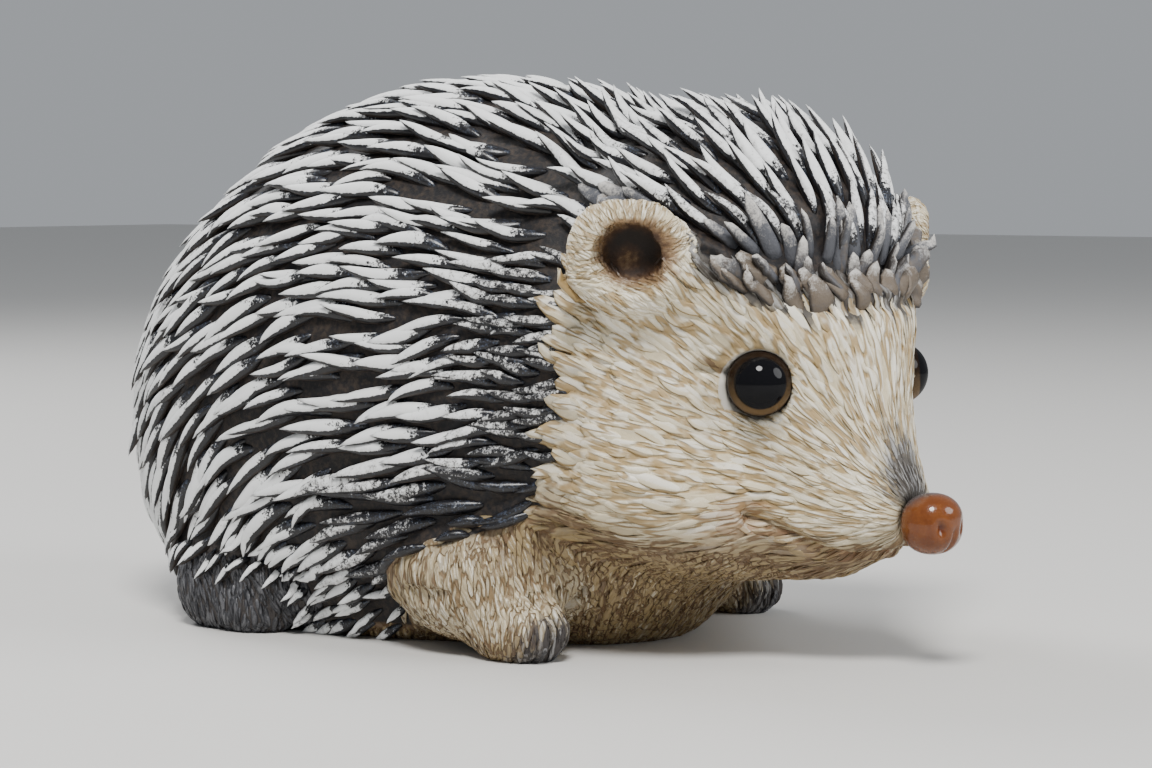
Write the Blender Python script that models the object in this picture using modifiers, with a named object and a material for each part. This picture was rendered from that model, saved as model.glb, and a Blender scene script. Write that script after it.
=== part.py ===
"""A cast-resin hedgehog ornament, crouching, with its head turned a little to its right.

The casting is one blend of rounded masses with a flat underside. Thin cuts part it into the
pieces a person would name. The glass eyes and the lacquered nose are set into it.
Metres, +Z up. The hedgehog faces -Y and its left side is +X. The origin is on the floor, below
the middle of its bounding box. The solids run out to the tips of the moulded quills.
"""

from math import cos, pi, radians, sin

import bmesh
import bpy
from mathutils import Euler, Matrix, Vector
from mathutils.bvhtree import BVHTree

MM = 0.001

# ---------------------------------------------------------------- driving dimensions
RUMP_Y = 82.5 * MM
REAR_LENGTH = 58 * MM
FORE_LENGTH = 70 * MM
NECK_LENGTH = 13 * MM
BODY_WIDTH = 89 * MM
BACK_HEIGHT = 93.5 * MM
WIDEST_HEIGHT = 38 * MM
BELLY_DEPTH = 42 * MM
BACK_LEAN = 12 * MM

HEAD_YAW = radians(-9)
EAR_LINE_Y = -48.1 * MM
HEAD_BACK = -15 * MM
NECK_CURVE = Vector((9, 23)) * MM
THROAT_HEIGHT = 11 * MM
# Height, reach in front of the ears and half-width, from the throat to the cap.
CHEEK_SECTIONS = [
    (11.5 * MM, 2.0 * MM, 16.0 * MM),
    (15.0 * MM, 8.0 * MM, 25.0 * MM),
    (18.5 * MM, 11.0 * MM, 31.0 * MM),
    (23.0 * MM, 12.0 * MM, 36.0 * MM),
    (28.0 * MM, 11.0 * MM, 38.0 * MM),
    (38.0 * MM, 8.0 * MM, 38.5 * MM),
    (50.0 * MM, 9.0 * MM, 37.0 * MM),
    (60.0 * MM, 14.0 * MM, 34.0 * MM),
    (67.0 * MM, 13.0 * MM, 31.5 * MM),
    (72.0 * MM, 9.0 * MM, 28.0 * MM),
    (78.0 * MM, 2.0 * MM, 22.0 * MM),
    (84.0 * MM, -6.0 * MM, 14.0 * MM),
]
MUZZLE_SECTIONS = [
    (12.3 * MM, 12.0 * MM, 10.0 * MM),
    (15.5 * MM, 18.0 * MM, 14.0 * MM),
    (18.3 * MM, 24.8 * MM, 16.0 * MM),
    (22.0 * MM, 29.0 * MM, 16.5 * MM),
    (26.0 * MM, 28.4 * MM, 16.5 * MM),
    (32.0 * MM, 25.2 * MM, 17.5 * MM),
    (38.0 * MM, 22.9 * MM, 19.0 * MM),
    (44.0 * MM, 22.0 * MM, 20.6 * MM),
    (50.0 * MM, 21.4 * MM, 23.0 * MM),
    (56.0 * MM, 19.8 * MM, 25.5 * MM),
    (62.0 * MM, 17.5 * MM, 26.5 * MM),
    (68.0 * MM, 12.0 * MM, 24.0 * MM),
    (74.0 * MM, 4.0 * MM, 18.0 * MM),
]
MUZZLE_BACK = 0 * MM
CHEEK_FULLNESS = 2.0
MUZZLE_FULLNESS = 1.75

EYE_PLACE = Vector((16.6, 9.4, 44.1)) * MM
EYE_RADIUS = 5.1 * MM
NOSE_PLACE = Vector((0, 29.8, 22.9)) * MM
NOSE_RADII = Vector((4.9, 4.7, 4.8)) * MM
NOSTRIL_RADIUS = 0.9 * MM
MOUTH_RADIUS = 0.6 * MM
EAR_PLACE = Vector((34.1, -1.8, 62.8)) * MM
EAR_RADII = Vector((9.7, 4.3, 9.8)) * MM
EAR_FULLNESS = 2.6
EAR_CUP_RADII = Vector((5.1, 4.4, 5.5)) * MM
EAR_OUTWARD = radians(48)
EAR_SEGMENTS = 16

TOES = 4
TOE_PITCH = 3.2 * MM
TOE_GROOVE = Vector((0.35, 3.6, 5.0)) * MM
FORE_WRIST = Vector((31.5, -19.0, 4.8)) * MM
HIND_WRIST = Vector((33.5, 35.0, 4.2)) * MM
CUTTERS = "cutters"
GAP = 0.3 * MM
VOXEL = 1.25 * MM
BLEND_TRIANGLES = 2500


# ---------------------------------------------------------------- helpers
def clear_scene():
    for obj in list(bpy.data.objects):
        bpy.data.objects.remove(obj)


def new_collection(name):
    collection = bpy.data.collections.new(name)
    bpy.context.scene.collection.children.link(collection)
    return collection


def material(name, colour, roughness):
    mat = bpy.data.materials.new(name)
    mat.use_nodes = True
    shader = mat.node_tree.nodes["Principled BSDF"]
    shader.inputs["Base Color"].default_value = (*colour, 1.0)
    shader.inputs["Roughness"].default_value = roughness
    return mat


def head_matrix():
    """Turns head measures (side, forward, height) into the hedgehog's own frame."""
    face_forward = Matrix.Diagonal((1, -1, 1, 1))
    turn = Matrix.Rotation(HEAD_YAW, 4, "Z")
    return Matrix.Translation((0, EAR_LINE_Y, 0)) @ turn @ face_forward


def mirrored(vector, side):
    return Vector((vector.x * side, vector.y, vector.z))


def smooth_step(value, low, high):
    t = min(max((value - low) / (high - low), 0.0), 1.0)
    return t * t * (3 - 2 * t)


def loft(bm, rings):
    """Skins closed rings of equal length and caps both ends."""
    rows = [[bm.verts.new(p) for p in ring] for ring in rings]
    for lower, upper in zip(rows, rows[1:]):
        for k in range(len(lower)):
            n = (k + 1) % len(lower)
            bm.faces.new((lower[k], lower[n], upper[n], upper[k]))
    bm.faces.new(list(reversed(rows[0])))
    bm.faces.new(rows[-1])


def ellipsoid(bm, centre, radii, tilt=(0, 0, 0), frame=Matrix(), segments=32, fullness=2):
    """A ball of three radii; a fullness over 2 squares its front outline."""
    place = Matrix.Translation(centre) @ Euler(tilt).to_matrix().to_4x4()
    matrix = frame @ place @ Matrix.Diagonal((*radii, 1))
    rows = segments * 5 // 8
    ball = bmesh.ops.create_uvsphere(bm, u_segments=segments, v_segments=rows, radius=1)["verts"]
    for v in ball:
        round_reach = (v.co.x**2 + v.co.z**2) ** 0.5
        full_reach = (abs(v.co.x) ** fullness + abs(v.co.z) ** fullness) ** (1 / fullness)
        if full_reach > 1e-9:
            v.co.x *= round_reach / full_reach
            v.co.z *= round_reach / full_reach
    bmesh.ops.transform(bm, matrix=matrix, verts=ball)


def mesh_object(name, fill, collection):
    """Makes an object from a function that fills a bmesh."""
    bm = bmesh.new()
    fill(bm)
    bmesh.ops.recalc_face_normals(bm, faces=bm.faces)
    mesh = bpy.data.meshes.new(name)
    bm.to_mesh(mesh)
    bm.free()
    obj = bpy.data.objects.new(name, mesh)
    collection.objects.link(obj)
    if collection.name == CUTTERS:
        obj.hide_render = True
        obj.display_type = "WIRE"
    return obj


def settle(obj):
    """Applies the object's modifiers."""
    graph = bpy.context.evaluated_depsgraph_get()
    mesh = bpy.data.meshes.new_from_object(obj.evaluated_get(graph))
    obj.modifiers.clear()
    obj.data = mesh


def cut(obj, cutter, operation="DIFFERENCE"):
    step = obj.modifiers.new(operation.lower(), "BOOLEAN")
    step.operation = operation
    step.solver = "EXACT"
    step.object = cutter
    settle(obj)


def copy_of(obj, name):
    twin = bpy.data.objects.new(name, obj.data.copy())
    obj.users_collection[0].objects.link(twin)
    return twin


# ---------------------------------------------------------------- masses of the casting
def trunk_mass(bm, slices=44, sides=56):
    """Level slices of an egg-shaped dome, fuller below its widest line, leaning forward on top."""
    rings = []
    for i in range(1, slices):
        height = -cos(pi * i / slices)
        depth, fullness = (BACK_HEIGHT - WIDEST_HEIGHT, 2) if height >= 0 else (BELLY_DEPTH, 3)
        scale = (1 - abs(height) ** fullness) ** (1 / fullness)
        lean = BACK_LEAN * max(height, 0) ** 1.3
        fore_length = FORE_LENGTH + NECK_LENGTH * smooth_step(height, -0.6, 0.1)
        ring = []
        for k in range(sides):
            around = 2 * pi * k / sides
            length = REAR_LENGTH if sin(around) >= 0 else fore_length
            x = BODY_WIDTH / 2 * cos(around) * scale
            y = RUMP_Y - REAR_LENGTH + length * sin(around) * scale - lean
            ring.append((x, y, WIDEST_HEIGHT + height * depth))
        rings.append(ring)
    loft(bm, rings)


def section_at(sections, height):
    """Reach and half-width at a height, eased between the named sections."""
    for low, high in zip(sections, sections[1:]):
        if height <= high[0]:
            t = (height - low[0]) / (high[0] - low[0])
            return [a + (b - a) * t for a, b in zip(low[1:], high[1:])]
    return sections[-1][1:]


def level_mass(bm, sections, back, fullness, slices=60, sides=48):
    """A part of the face as level slices, each a rounded lozenge that reaches forward."""
    frame = head_matrix()
    bottom, top = sections[0][0], sections[-1][0]
    rings = []
    for i in range(slices + 1):
        height = bottom + (top - bottom) * i / slices
        reach, half_width = section_at(sections, height)
        ring = []
        for k in range(sides):
            around = 2 * pi * (k + 0.5) / sides
            g = abs(cos(around)) ** (2 / fullness)
            s = abs(sin(around)) ** (2 / fullness)
            forward = back + g * (reach - back) if cos(around) >= 0 else back - g * half_width * 0.6
            ring.append((s * half_width * (1 if sin(around) > 0 else -1), forward, height))
        rings.append([frame @ Vector(p) for p in ring])
    loft(bm, rings)


def face_mass(bm):
    """Broad round cheeks and brow, with the muzzle standing forward between the eyes."""
    level_mass(bm, CHEEK_SECTIONS, HEAD_BACK, CHEEK_FULLNESS)
    level_mass(bm, MUZZLE_SECTIONS, MUZZLE_BACK, MUZZLE_FULLNESS)


def crown_mass(bm):
    """The quilled cap, which stands a little proud of the brow, and the nape behind it."""
    frame = head_matrix()
    ellipsoid(bm, (0, -13 * MM, 62 * MM), (34 * MM, 31 * MM, 26 * MM), frame=frame)
    ellipsoid(bm, (0, -19 * MM, 45 * MM), (39 * MM, 32 * MM, 41 * MM))


def limb_masses(bm):
    for side in (-1, 1):
        ellipsoid(bm, (side * 30 * MM, -8 * MM, 12.5 * MM), (10.5 * MM, 14 * MM, 11 * MM))
        ellipsoid(bm, mirrored(FORE_WRIST, side), (7 * MM, 10 * MM, 5.8 * MM))
        ellipsoid(bm, (side * 33 * MM, 42 * MM, 6.5 * MM), (7.5 * MM, 10 * MM, 7.6 * MM))
        ellipsoid(bm, mirrored(HIND_WRIST, side), (7 * MM, 9.5 * MM, 5.2 * MM))
    ellipsoid(bm, (0, -14 * MM, 14 * MM), (27 * MM, 22 * MM, 17 * MM))
    ellipsoid(bm, (0, 77.5 * MM, 11 * MM), (3.6 * MM, 5 * MM, 3.4 * MM), (radians(20), 0, 0))


def blended_masses(collection):
    """Joins the masses into one skin, softens it and cuts it flat where it stands."""

    def fill(bm):
        trunk_mass(bm)
        face_mass(bm)
        crown_mass(bm)
        limb_masses(bm)

    blend = mesh_object("trunk", fill, collection)
    join = blend.modifiers.new("join", "REMESH")
    join.mode = "VOXEL"
    join.voxel_size = VOXEL
    soften = blend.modifiers.new("soften", "SMOOTH")
    soften.factor = 0.5
    soften.iterations = 8
    settle(blend)
    thin = blend.modifiers.new("thin", "DECIMATE")
    thin.ratio = BLEND_TRIANGLES / (2 * len(blend.data.polygons))
    thin.use_symmetry = False
    settle(blend)
    return blend


# ---------------------------------------------------------------- cutters
def below_floor(bm):
    bmesh.ops.create_cube(bm, size=1, matrix=Matrix.Translation((0, 0, -0.5)))


def head_region(grow):
    """A prism across the head: straight down behind the ears, then forward under the jaw."""

    def fill(bm, width=0.09, steps=7):
        frame = head_matrix()
        profile = [Vector((0.07, 0.12)), Vector((HEAD_BACK - grow, 0.12))]
        corner = Vector((HEAD_BACK, THROAT_HEIGHT)) + NECK_CURVE
        for i in range(steps + 1):
            turn = pi / 2 * i / steps
            reach = NECK_CURVE + Vector((grow, grow))
            profile.append(corner - Vector((reach.x * cos(turn), reach.y * sin(turn))))
        profile.append(Vector((0.07, THROAT_HEIGHT - grow)))
        rings = []
        for side in (-1, 1):
            rings.append([frame @ Vector((side * width, p.x, p.y)) for p in profile])
        loft(bm, rings)

    return fill


def ball_region(centre, radii, frame=Matrix(), tilt=(0, 0, 0), segments=18, fullness=2):
    """An ellipsoid cutter that can be grown all round."""

    def grown(grow):
        def fill(bm):
            size = Vector(radii) + Vector((grow, grow, grow))
            ellipsoid(bm, centre, size, tilt, frame, segments, fullness)

        return fill

    return grown


def part_off(body, name, region, cutters):
    """Parts a named piece from the body, leaving a gap between them."""
    inner = mesh_object("region", region(0), cutters)
    outer = mesh_object("region", region(GAP), cutters)
    piece = copy_of(body, name)
    cut(piece, inner, "INTERSECT")
    cut(body, outer)
    bpy.data.objects.remove(inner)
    bpy.data.objects.remove(outer)
    return piece


def carve_toes(paw, wrist, side, reach, cutters):
    """Parts the front of a paw into toes with thin upright grooves that fan apart."""
    for k in range(TOES - 1):
        across = k - (TOES - 2) / 2
        place = mirrored(wrist + Vector((across * TOE_PITCH, -reach, 1 * MM)), side)
        groove = ball_region(place, TOE_GROOVE, tilt=(0, 0, radians(9) * across * side), segments=8)
        hollow(paw, groove, cutters, 0)


def hollow(body, region, cutters, grow=GAP):
    """Sinks a pocket into the body for a piece that is set into it."""
    cutter = mesh_object("pocket", region(grow), cutters)
    cut(body, cutter)
    bpy.data.objects.remove(cutter)


# ---------------------------------------------------------------- details of the head
def mouth_line(head, side, steps=8):
    """Points on the head along the lip, from under the nose back to the corner."""
    tree = BVHTree.FromObject(head, bpy.context.evaluated_depsgraph_get())
    frame = head_matrix()
    across = (frame.to_3x3() @ Vector((-side, 0, 0))).normalized()
    points = []
    for i in range(steps + 1):
        t = i / steps
        forward = (24.5 - 12.5 * t) * MM
        height = (18.6 + 5.4 * t**2.5) * MM
        start = frame @ Vector((side * 60 * MM, forward, height))
        hit = tree.ray_cast(start, across)[0]
        if hit:
            points.append(hit)
    return points


def tube_mesh(points, radius, cutters):
    """A closed round tube through the points."""
    line = bpy.data.curves.new("tube", "CURVE")
    line.dimensions = "3D"
    line.bevel_depth = radius
    line.bevel_resolution = 1
    line.use_fill_caps = True
    spline = line.splines.new("POLY")
    spline.points.add(len(points) - 1)
    for point, place in zip(spline.points, points):
        point.co = (*place, 1)
    guide = bpy.data.objects.new("tube", line)
    cutters.objects.link(guide)
    graph = bpy.context.evaluated_depsgraph_get()
    mesh = bpy.data.meshes.new_from_object(guide.evaluated_get(graph))
    bpy.data.objects.remove(guide)
    bm = bmesh.new()
    bm.from_mesh(mesh)
    bmesh.ops.remove_doubles(bm, verts=bm.verts, dist=0.01 * MM)
    bmesh.ops.recalc_face_normals(bm, faces=bm.faces)
    bm.to_mesh(mesh)
    bm.free()
    return mesh


def carve_mouth(head, side, cutters):
    """Cuts the lip line as a round-bottomed groove."""
    lip = bpy.data.objects.new("lip", tube_mesh(mouth_line(head, side), MOUTH_RADIUS, cutters))
    cutters.objects.link(lip)
    cut(head, lip)
    bpy.data.objects.remove(lip)


def ear_region(side, radii=EAR_RADII, lift=0.0, fullness=EAR_FULLNESS):
    """A disc standing on the side of the cap and facing forward and outward."""
    facing = Vector((sin(EAR_OUTWARD) * side, cos(EAR_OUTWARD), 0))
    centre = mirrored(EAR_PLACE, side) + facing * lift
    turn = (0, 0, -EAR_OUTWARD * side)
    return ball_region(centre, radii, head_matrix(), turn, EAR_SEGMENTS, fullness)


def set_ear(head, side, name, parts, cutters):
    region = ear_region(side)
    ear = mesh_object(name, region(0), parts)
    hollow(head, region, cutters)
    hollow(ear, ear_region(side, EAR_CUP_RADII, EAR_RADII.y, 2), cutters, 0)
    return ear


def set_eye(head, side, name, parts, cutters):
    radii = Vector((EYE_RADIUS, EYE_RADIUS, EYE_RADIUS))
    region = ball_region(mirrored(EYE_PLACE, side), radii, head_matrix(), segments=18)
    hollow(head, region, cutters)
    return mesh_object(name, region(0), parts)


def set_nose(head, parts, cutters):
    region = ball_region(NOSE_PLACE, NOSE_RADII, head_matrix(), segments=18)
    hollow(head, region, cutters)
    nose = mesh_object("nose", region(0), parts)
    for side in (-1, 1):
        place = NOSE_PLACE + Vector((side * 2.6, 3.9, 0.4)) * MM
        radii = Vector((NOSTRIL_RADIUS, NOSTRIL_RADIUS, NOSTRIL_RADIUS * 1.3))
        hollow(nose, ball_region(place, radii, head_matrix(), segments=8), cutters, 0)
    return nose


# ---------------------------------------------------------------- build
def finish(obj, mat):
    obj.data.materials.clear()
    obj.data.materials.append(mat)
    for face in obj.data.polygons:
        face.use_smooth = True
        face.material_index = 0
    obj.data.set_sharp_from_angle(angle=radians(40))


def build():
    clear_scene()
    parts = new_collection("hedgehog")
    cutters = new_collection(CUTTERS)
    quilled = material("quilled_resin", (0.16, 0.15, 0.15), 0.6)
    cream = material("cream_resin", (0.72, 0.6, 0.44), 0.7)
    grey = material("grey_resin", (0.3, 0.28, 0.26), 0.7)
    lacquer = material("nose_lacquer", (0.42, 0.13, 0.04), 0.2)
    glass = material("eye_glass", (0.02, 0.012, 0.01), 0.08)

    trunk = blended_masses(parts)
    floor = mesh_object("floor", below_floor, cutters)
    cut(trunk, floor)
    bpy.data.objects.remove(floor)
    head = part_off(trunk, "head", head_region, cutters)
    tail = part_off(trunk, "tail", ball_region((0, 81 * MM, 11 * MM), Vector((5, 5.5, 5)) * MM), cutters)
    pieces = [(trunk, quilled), (head, cream), (tail, grey)]
    for side, word in ((-1, "right"), (1, "left")):
        shoulder = ball_region(Vector((31 * side, -13, 7)) * MM, Vector((13.5, 20, 15.5)) * MM)
        foreleg = part_off(trunk, "foreleg_" + word, shoulder, cutters)
        carve_toes(foreleg, FORE_WRIST, side, 8.6 * MM, cutters)
        haunch = ball_region(Vector((33 * side, 38, 5.5)) * MM, Vector((10.5, 17, 11)) * MM)
        hind_leg = part_off(trunk, "hind_leg_" + word, haunch, cutters)
        carve_toes(hind_leg, HIND_WRIST, side, 8.2 * MM, cutters)
        pieces += [(foreleg, cream), (hind_leg, grey)]
        carve_mouth(head, side, cutters)
        pieces.append((set_ear(head, side, "ear_" + word, parts, cutters), cream))
        pieces.append((set_eye(head, side, "eye_" + word, parts, cutters), glass))
    pieces.append((set_nose(head, parts, cutters), lacquer))
    for obj, mat in pieces:
        finish(obj, mat)


build()
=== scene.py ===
# %% [markdown]
# # A hedgehog ornament in painted cast resin
# The real thing is one hollow casting with two glass eyes. Its quills and fur are moulded, then
# painted in three steps: dark base, brown wash in the grooves, pale paint brushed over what stands
# proud. The plain solids come from the frame. This lesson lays a skin inside them, grows solid
# quills and fur over it, and paints each step the way a painter's bench would.

# %% Load the frame and the tools
from math import cos, pi, radians, sin

import bmesh
import bpy
import numpy as np
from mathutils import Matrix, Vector
from mathutils.bvhtree import BVHTree


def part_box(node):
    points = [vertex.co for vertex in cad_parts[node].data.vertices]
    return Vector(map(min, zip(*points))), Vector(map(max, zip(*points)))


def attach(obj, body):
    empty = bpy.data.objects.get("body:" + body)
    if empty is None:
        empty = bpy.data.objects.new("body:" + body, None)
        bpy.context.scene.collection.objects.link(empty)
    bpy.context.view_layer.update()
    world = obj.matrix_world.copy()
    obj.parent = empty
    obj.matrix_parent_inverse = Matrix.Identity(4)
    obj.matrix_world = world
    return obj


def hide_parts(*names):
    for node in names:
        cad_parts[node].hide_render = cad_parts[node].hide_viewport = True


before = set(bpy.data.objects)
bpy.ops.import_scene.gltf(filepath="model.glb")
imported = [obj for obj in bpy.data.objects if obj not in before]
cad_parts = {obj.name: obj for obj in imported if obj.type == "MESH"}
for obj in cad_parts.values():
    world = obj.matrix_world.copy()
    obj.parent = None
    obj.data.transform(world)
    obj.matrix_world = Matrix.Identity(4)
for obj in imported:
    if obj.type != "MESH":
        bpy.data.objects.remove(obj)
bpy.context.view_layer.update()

MM = 0.001
SIDES = {"right": -1, "left": 1}
print("solids in the frame:", sorted(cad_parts))

# %% [markdown]
# ## Where things are
# The eyes are balls, so the middle of each one's box is its centre. The line between them gives the
# way the head is turned, and the ears give a place to measure from. Everything on the head is then
# placed in head measures: sideways (s, to the animal's left), forward (g) and up (z).

# %% Head measures
UP = np.array([0.0, 0.0, 1.0])


def unit(v):
    return v / np.maximum(np.linalg.norm(v, axis=-1, keepdims=True), 1e-12)


def box_of(node):
    low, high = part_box(node)
    return np.array(low, float), np.array(high, float)


def centre_of(node):
    low, high = box_of(node)
    return (low + high) / 2


def size_of(node):
    low, high = box_of(node)
    return high - low


across = unit((centre_of("eye_left") - centre_of("eye_right")) * [1, 1, 0])
ahead = np.cross(across, UP)
pivot = (centre_of("ear_left") + centre_of("ear_right")) / 2 * [1, 1, 0]


def to_head(p):
    d = np.asarray(p, float) - pivot
    return np.stack([d @ across, d @ ahead, d[..., 2]], axis=-1)


def from_head(h):
    h = np.asarray(h, float)
    return pivot + h[..., :1] * across + h[..., 1:2] * ahead + h[..., 2:3] * UP


def ease(x, low, high):
    """Rises smoothly from 0 at low to 1 at high."""
    t = np.clip((x - low) / (high - low), 0, 1)
    return t * t * (3 - 2 * t)


def bump(distance, width):
    """1 at no distance, fading to nothing a couple of widths away."""
    return np.exp(-((distance / width) ** 2))


def either_side(mask_of, p):
    """The stronger of the values that a mask has for the right and for the left."""
    return np.max([mask_of(p, side) for side in SIDES], axis=0)


eye_at = {side: to_head(centre_of("eye_" + side)) for side in SIDES}
nose_at = to_head(centre_of("nose"))
print("eyes in head measures (mm):", {k: np.round(v / MM, 1) for k, v in eye_at.items()})
print("nose in head measures (mm):", np.round(nose_at / MM, 1))

# %% [markdown]
# ## The skin
# A casting has one unbroken surface, but the frame holds it in parted solids. Swelling each solid a
# little closes the cuts, and a voxel remesh joins what overlaps. The round body is smoothed hard to
# lose its facets. The thin ears join it afterwards and are smoothed only lightly.

# %% Join the solids into one surface
CLOSE_CUTS = 0.25 * MM
FORELEGS = ["foreleg_right", "foreleg_left"]
HIND_LEGS = ["hind_leg_right", "hind_leg_left"]
LEGS = FORELEGS + HIND_LEGS
BODY_NODES = ["trunk", "head", "tail"] + LEGS
EAR_NODES = ["ear_right", "ear_left"]
BODY_VOXEL = 0.9 * MM
SKIN_VOXEL = 0.62 * MM
BODY_SMOOTHING = 16
SKIN_SMOOTHING = 3


def object_from(name, data):
    """Puts a mesh, a light or a camera in the scene."""
    obj = bpy.data.objects.new(name, data)
    bpy.context.scene.collection.objects.link(obj)
    return obj


def mesh_of(bm, name):
    """Turns a bmesh into a mesh."""
    mesh = bpy.data.meshes.new(name)
    bm.to_mesh(mesh)
    bm.free()
    return mesh


def swollen(bm, mesh, amount):
    """Adds a solid to bm, pushed outward by an amount."""
    part = bmesh.new()
    part.from_mesh(mesh)
    bmesh.ops.remove_doubles(part, verts=part.verts, dist=1e-6)
    part.normal_update()
    for v in part.verts:
        v.co += v.normal * amount
    swelled = mesh_of(part, "swelled")
    bm.from_mesh(swelled)
    bpy.data.meshes.remove(swelled)


def remeshed(name, meshes, swell, voxel, rounds):
    """Swells meshes, joins them into one surface and smooths it."""
    bm = bmesh.new()
    for mesh in meshes:
        swollen(bm, mesh, swell)
    obj = object_from(name, mesh_of(bm, name))
    join = obj.modifiers.new("join", "REMESH")
    join.mode = "VOXEL"
    join.voxel_size = voxel
    soften = obj.modifiers.new("soften", "SMOOTH")
    soften.factor = 0.5
    soften.iterations = rounds
    graph = bpy.context.evaluated_depsgraph_get()
    mesh = bpy.data.meshes.new_from_object(obj.evaluated_get(graph))
    bpy.data.objects.remove(obj)
    return mesh


node_mesh = {name: obj.data for name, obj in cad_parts.items()}
body_mesh = remeshed("body", [node_mesh[n] for n in BODY_NODES], CLOSE_CUTS, BODY_VOXEL, BODY_SMOOTHING)
skin_mesh = remeshed("skin", [body_mesh] + [node_mesh[n] for n in EAR_NODES], 0, SKIN_VOXEL, SKIN_SMOOTHING)
print("skin vertices:", len(skin_mesh.vertices))

# %% [markdown]
# ## Where each kind of coat grows
# The quills make a mantle: over the crown from a hairline above the brow, behind the ears, down the
# ruff and along the flanks to a skirt just above the floor. Everything else carries short fur. Soft
# masks between 0 and 1 say how much each point belongs to a region. The skin, the quills and the
# fur all ask the same masks, so their paint agrees.

# %% The ears and their cups
EAR_OUTWARD = radians(48)
EAR_HALF_THICKNESS = 4.3 * MM
EAR_FULLNESS = 2.6
EAR_RADIUS = size_of("ear_right")[2] / 2
CUP_FORWARD = 1.45 * MM
CUP_UP = 1.35 * MM
CUP_REACH = np.array([6.7, 5.6]) * MM
CUP_DEEPEST = np.array([1.6, 0.1]) * MM


def ear_measures(p, side):
    """Along the rim, out of the cup, and up, from the middle of an ear."""
    d = to_head(p) - to_head(centre_of("ear_" + side))
    facing = np.array([sin(EAR_OUTWARD) * SIDES[side], cos(EAR_OUTWARD)])
    along = np.array([cos(EAR_OUTWARD) * SIDES[side], -sin(EAR_OUTWARD)])
    return np.stack([d[..., :2] @ along, d[..., :2] @ facing, d[..., 2]], axis=-1)


def one_ear(p, side):
    """1 in a rounded square disc around an ear."""
    e = np.abs(ear_measures(p, side) / np.array([EAR_RADIUS, EAR_HALF_THICKNESS, EAR_RADIUS]))
    disc = (e[:, 0] ** EAR_FULLNESS + e[:, 2] ** EAR_FULLNESS) ** (1 / EAR_FULLNESS)
    return 1 - ease(np.hypot(disc, e[:, 1]), 1.02, 1.14)


def ear_mask(p):
    return either_side(one_ear, p)


def cup_measures(p, side):
    """How far out in the cup, 1 at its edge, and how far in front of the ear's middle."""
    e = ear_measures(p, side)
    place = (e[:, [0, 2]] - [-CUP_FORWARD, CUP_UP]) / CUP_REACH
    inside = np.clip(1 - np.linalg.norm(place, axis=1), 0, 1)
    return np.linalg.norm(place - inside[:, None] * CUP_DEEPEST / CUP_REACH, axis=1), e[:, 1]


def one_cup(p, side):
    ring, front = cup_measures(p, side)
    return (1 - ease(ring, 0.3, 1.2)) * ease(front, -4.5 * MM, -2.5 * MM)


def cup_mask(p):
    return either_side(one_cup, p) * ear_mask(p)


print("ear radius (mm): %.1f" % (EAR_RADIUS / MM))

# %% The edge of the mantle
HAIRLINE = 56.8 * MM
SKIRT_RAG = 2.5 * MM
RUFF_RAG = 2.2 * MM
RAG_SPACING = 9 * MM
SKIRT_Y = np.array([-40, -30, -21, -14, -8, -1, 2, 4, 27, 30, 35, 49, 57, 66, 90]) * MM
SKIRT_Z = np.array([31, 27, 23, 19.5, 18, 16, 13, 3, 3, 9, 13.5, 13, 9, 5.5, 5]) * MM


def waves(p, scale, seed):
    """Slow, smooth variation between -1 and 1."""
    rng = np.random.default_rng(seed)
    total = np.zeros(len(p))
    for _ in range(5):
        way = unit(rng.normal(size=3)) / scale * rng.uniform(0.6, 1.6)
        total += np.sin(p @ way * 2 * pi + rng.uniform(0, 2 * pi))
    return total / 5


def hairline_height(s):
    """The hairline is level over the brow and climbs towards the ears."""
    return HAIRLINE + 0.4 * np.maximum(np.abs(s) - 13 * MM, 0) + 0.7 * np.maximum(np.abs(s) - 22 * MM, 0)


def ruff_forward(z):
    """How far forward the quills reach on the side of the neck."""
    return (-7.5 - 3.5 * ease(-z, -36 * MM, -25 * MM)) * MM


def ahead_of_ruff(p):
    """How far in front of the ragged edge between the face and the quills of the neck."""
    _, g, z = to_head(p).T
    return g - ruff_forward(z) - RUFF_RAG * waves(p, RAG_SPACING, 24)


def mantle_mask(p, blur=0.8 * MM):
    """1 under quills: over the crown, or behind the ruff and above the skirt."""
    s, _, z = to_head(p).T
    crown = ease(z, hairline_height(s) - blur, hairline_height(s) + blur)
    behind = ease(-ahead_of_ruff(p), -blur, blur)
    ragged = p[:, 1] + SKIRT_RAG * waves(p, RAG_SPACING, 23)
    skirt = np.interp(ragged, SKIRT_Y, SKIRT_Z)
    above = ease(z, skirt - blur, skirt + blur)
    return np.maximum(crown, behind * above) * (1 - ear_mask(p)) * (1 - leg_shape(p, HIND_LEGS))


def leg_shape(p, nodes):
    """1 on the rounded masses of some legs."""
    mask = np.zeros(len(p))
    for node in nodes:
        low, high = box_of(node)
        middle, half = (low + high) / 2, (high - low) / 2
        far = np.linalg.norm((p - middle) / (half * [1.0, 1.0, 1.1]), axis=1)
        mask = np.maximum(mask, 1 - ease(far, 0.95, 1.12))
    return mask


def leg_mask(p):
    """1 on the four legs, where they stand clear of the mantle."""
    return leg_shape(p, LEGS) * (1 - mantle_mask(p))


print("hairline over the brow and beside the ears (mm):",
      np.round(hairline_height(np.array([0, 25 * MM])) / MM, 1))


# %% Soften the root of each ear
EAR_SOFTENING = 0.7
EAR_SOFTENING_ROUNDS = 70


def arrays_of(mesh):
    """The places and the normals of a mesh's points."""
    co = np.empty(len(mesh.vertices) * 3)
    normal = np.empty(len(mesh.vertices) * 3)
    mesh.vertices.foreach_get("co", co)
    mesh.vertices.foreach_get("normal", normal)
    return co.reshape(-1, 3), normal.reshape(-1, 3)


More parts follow.
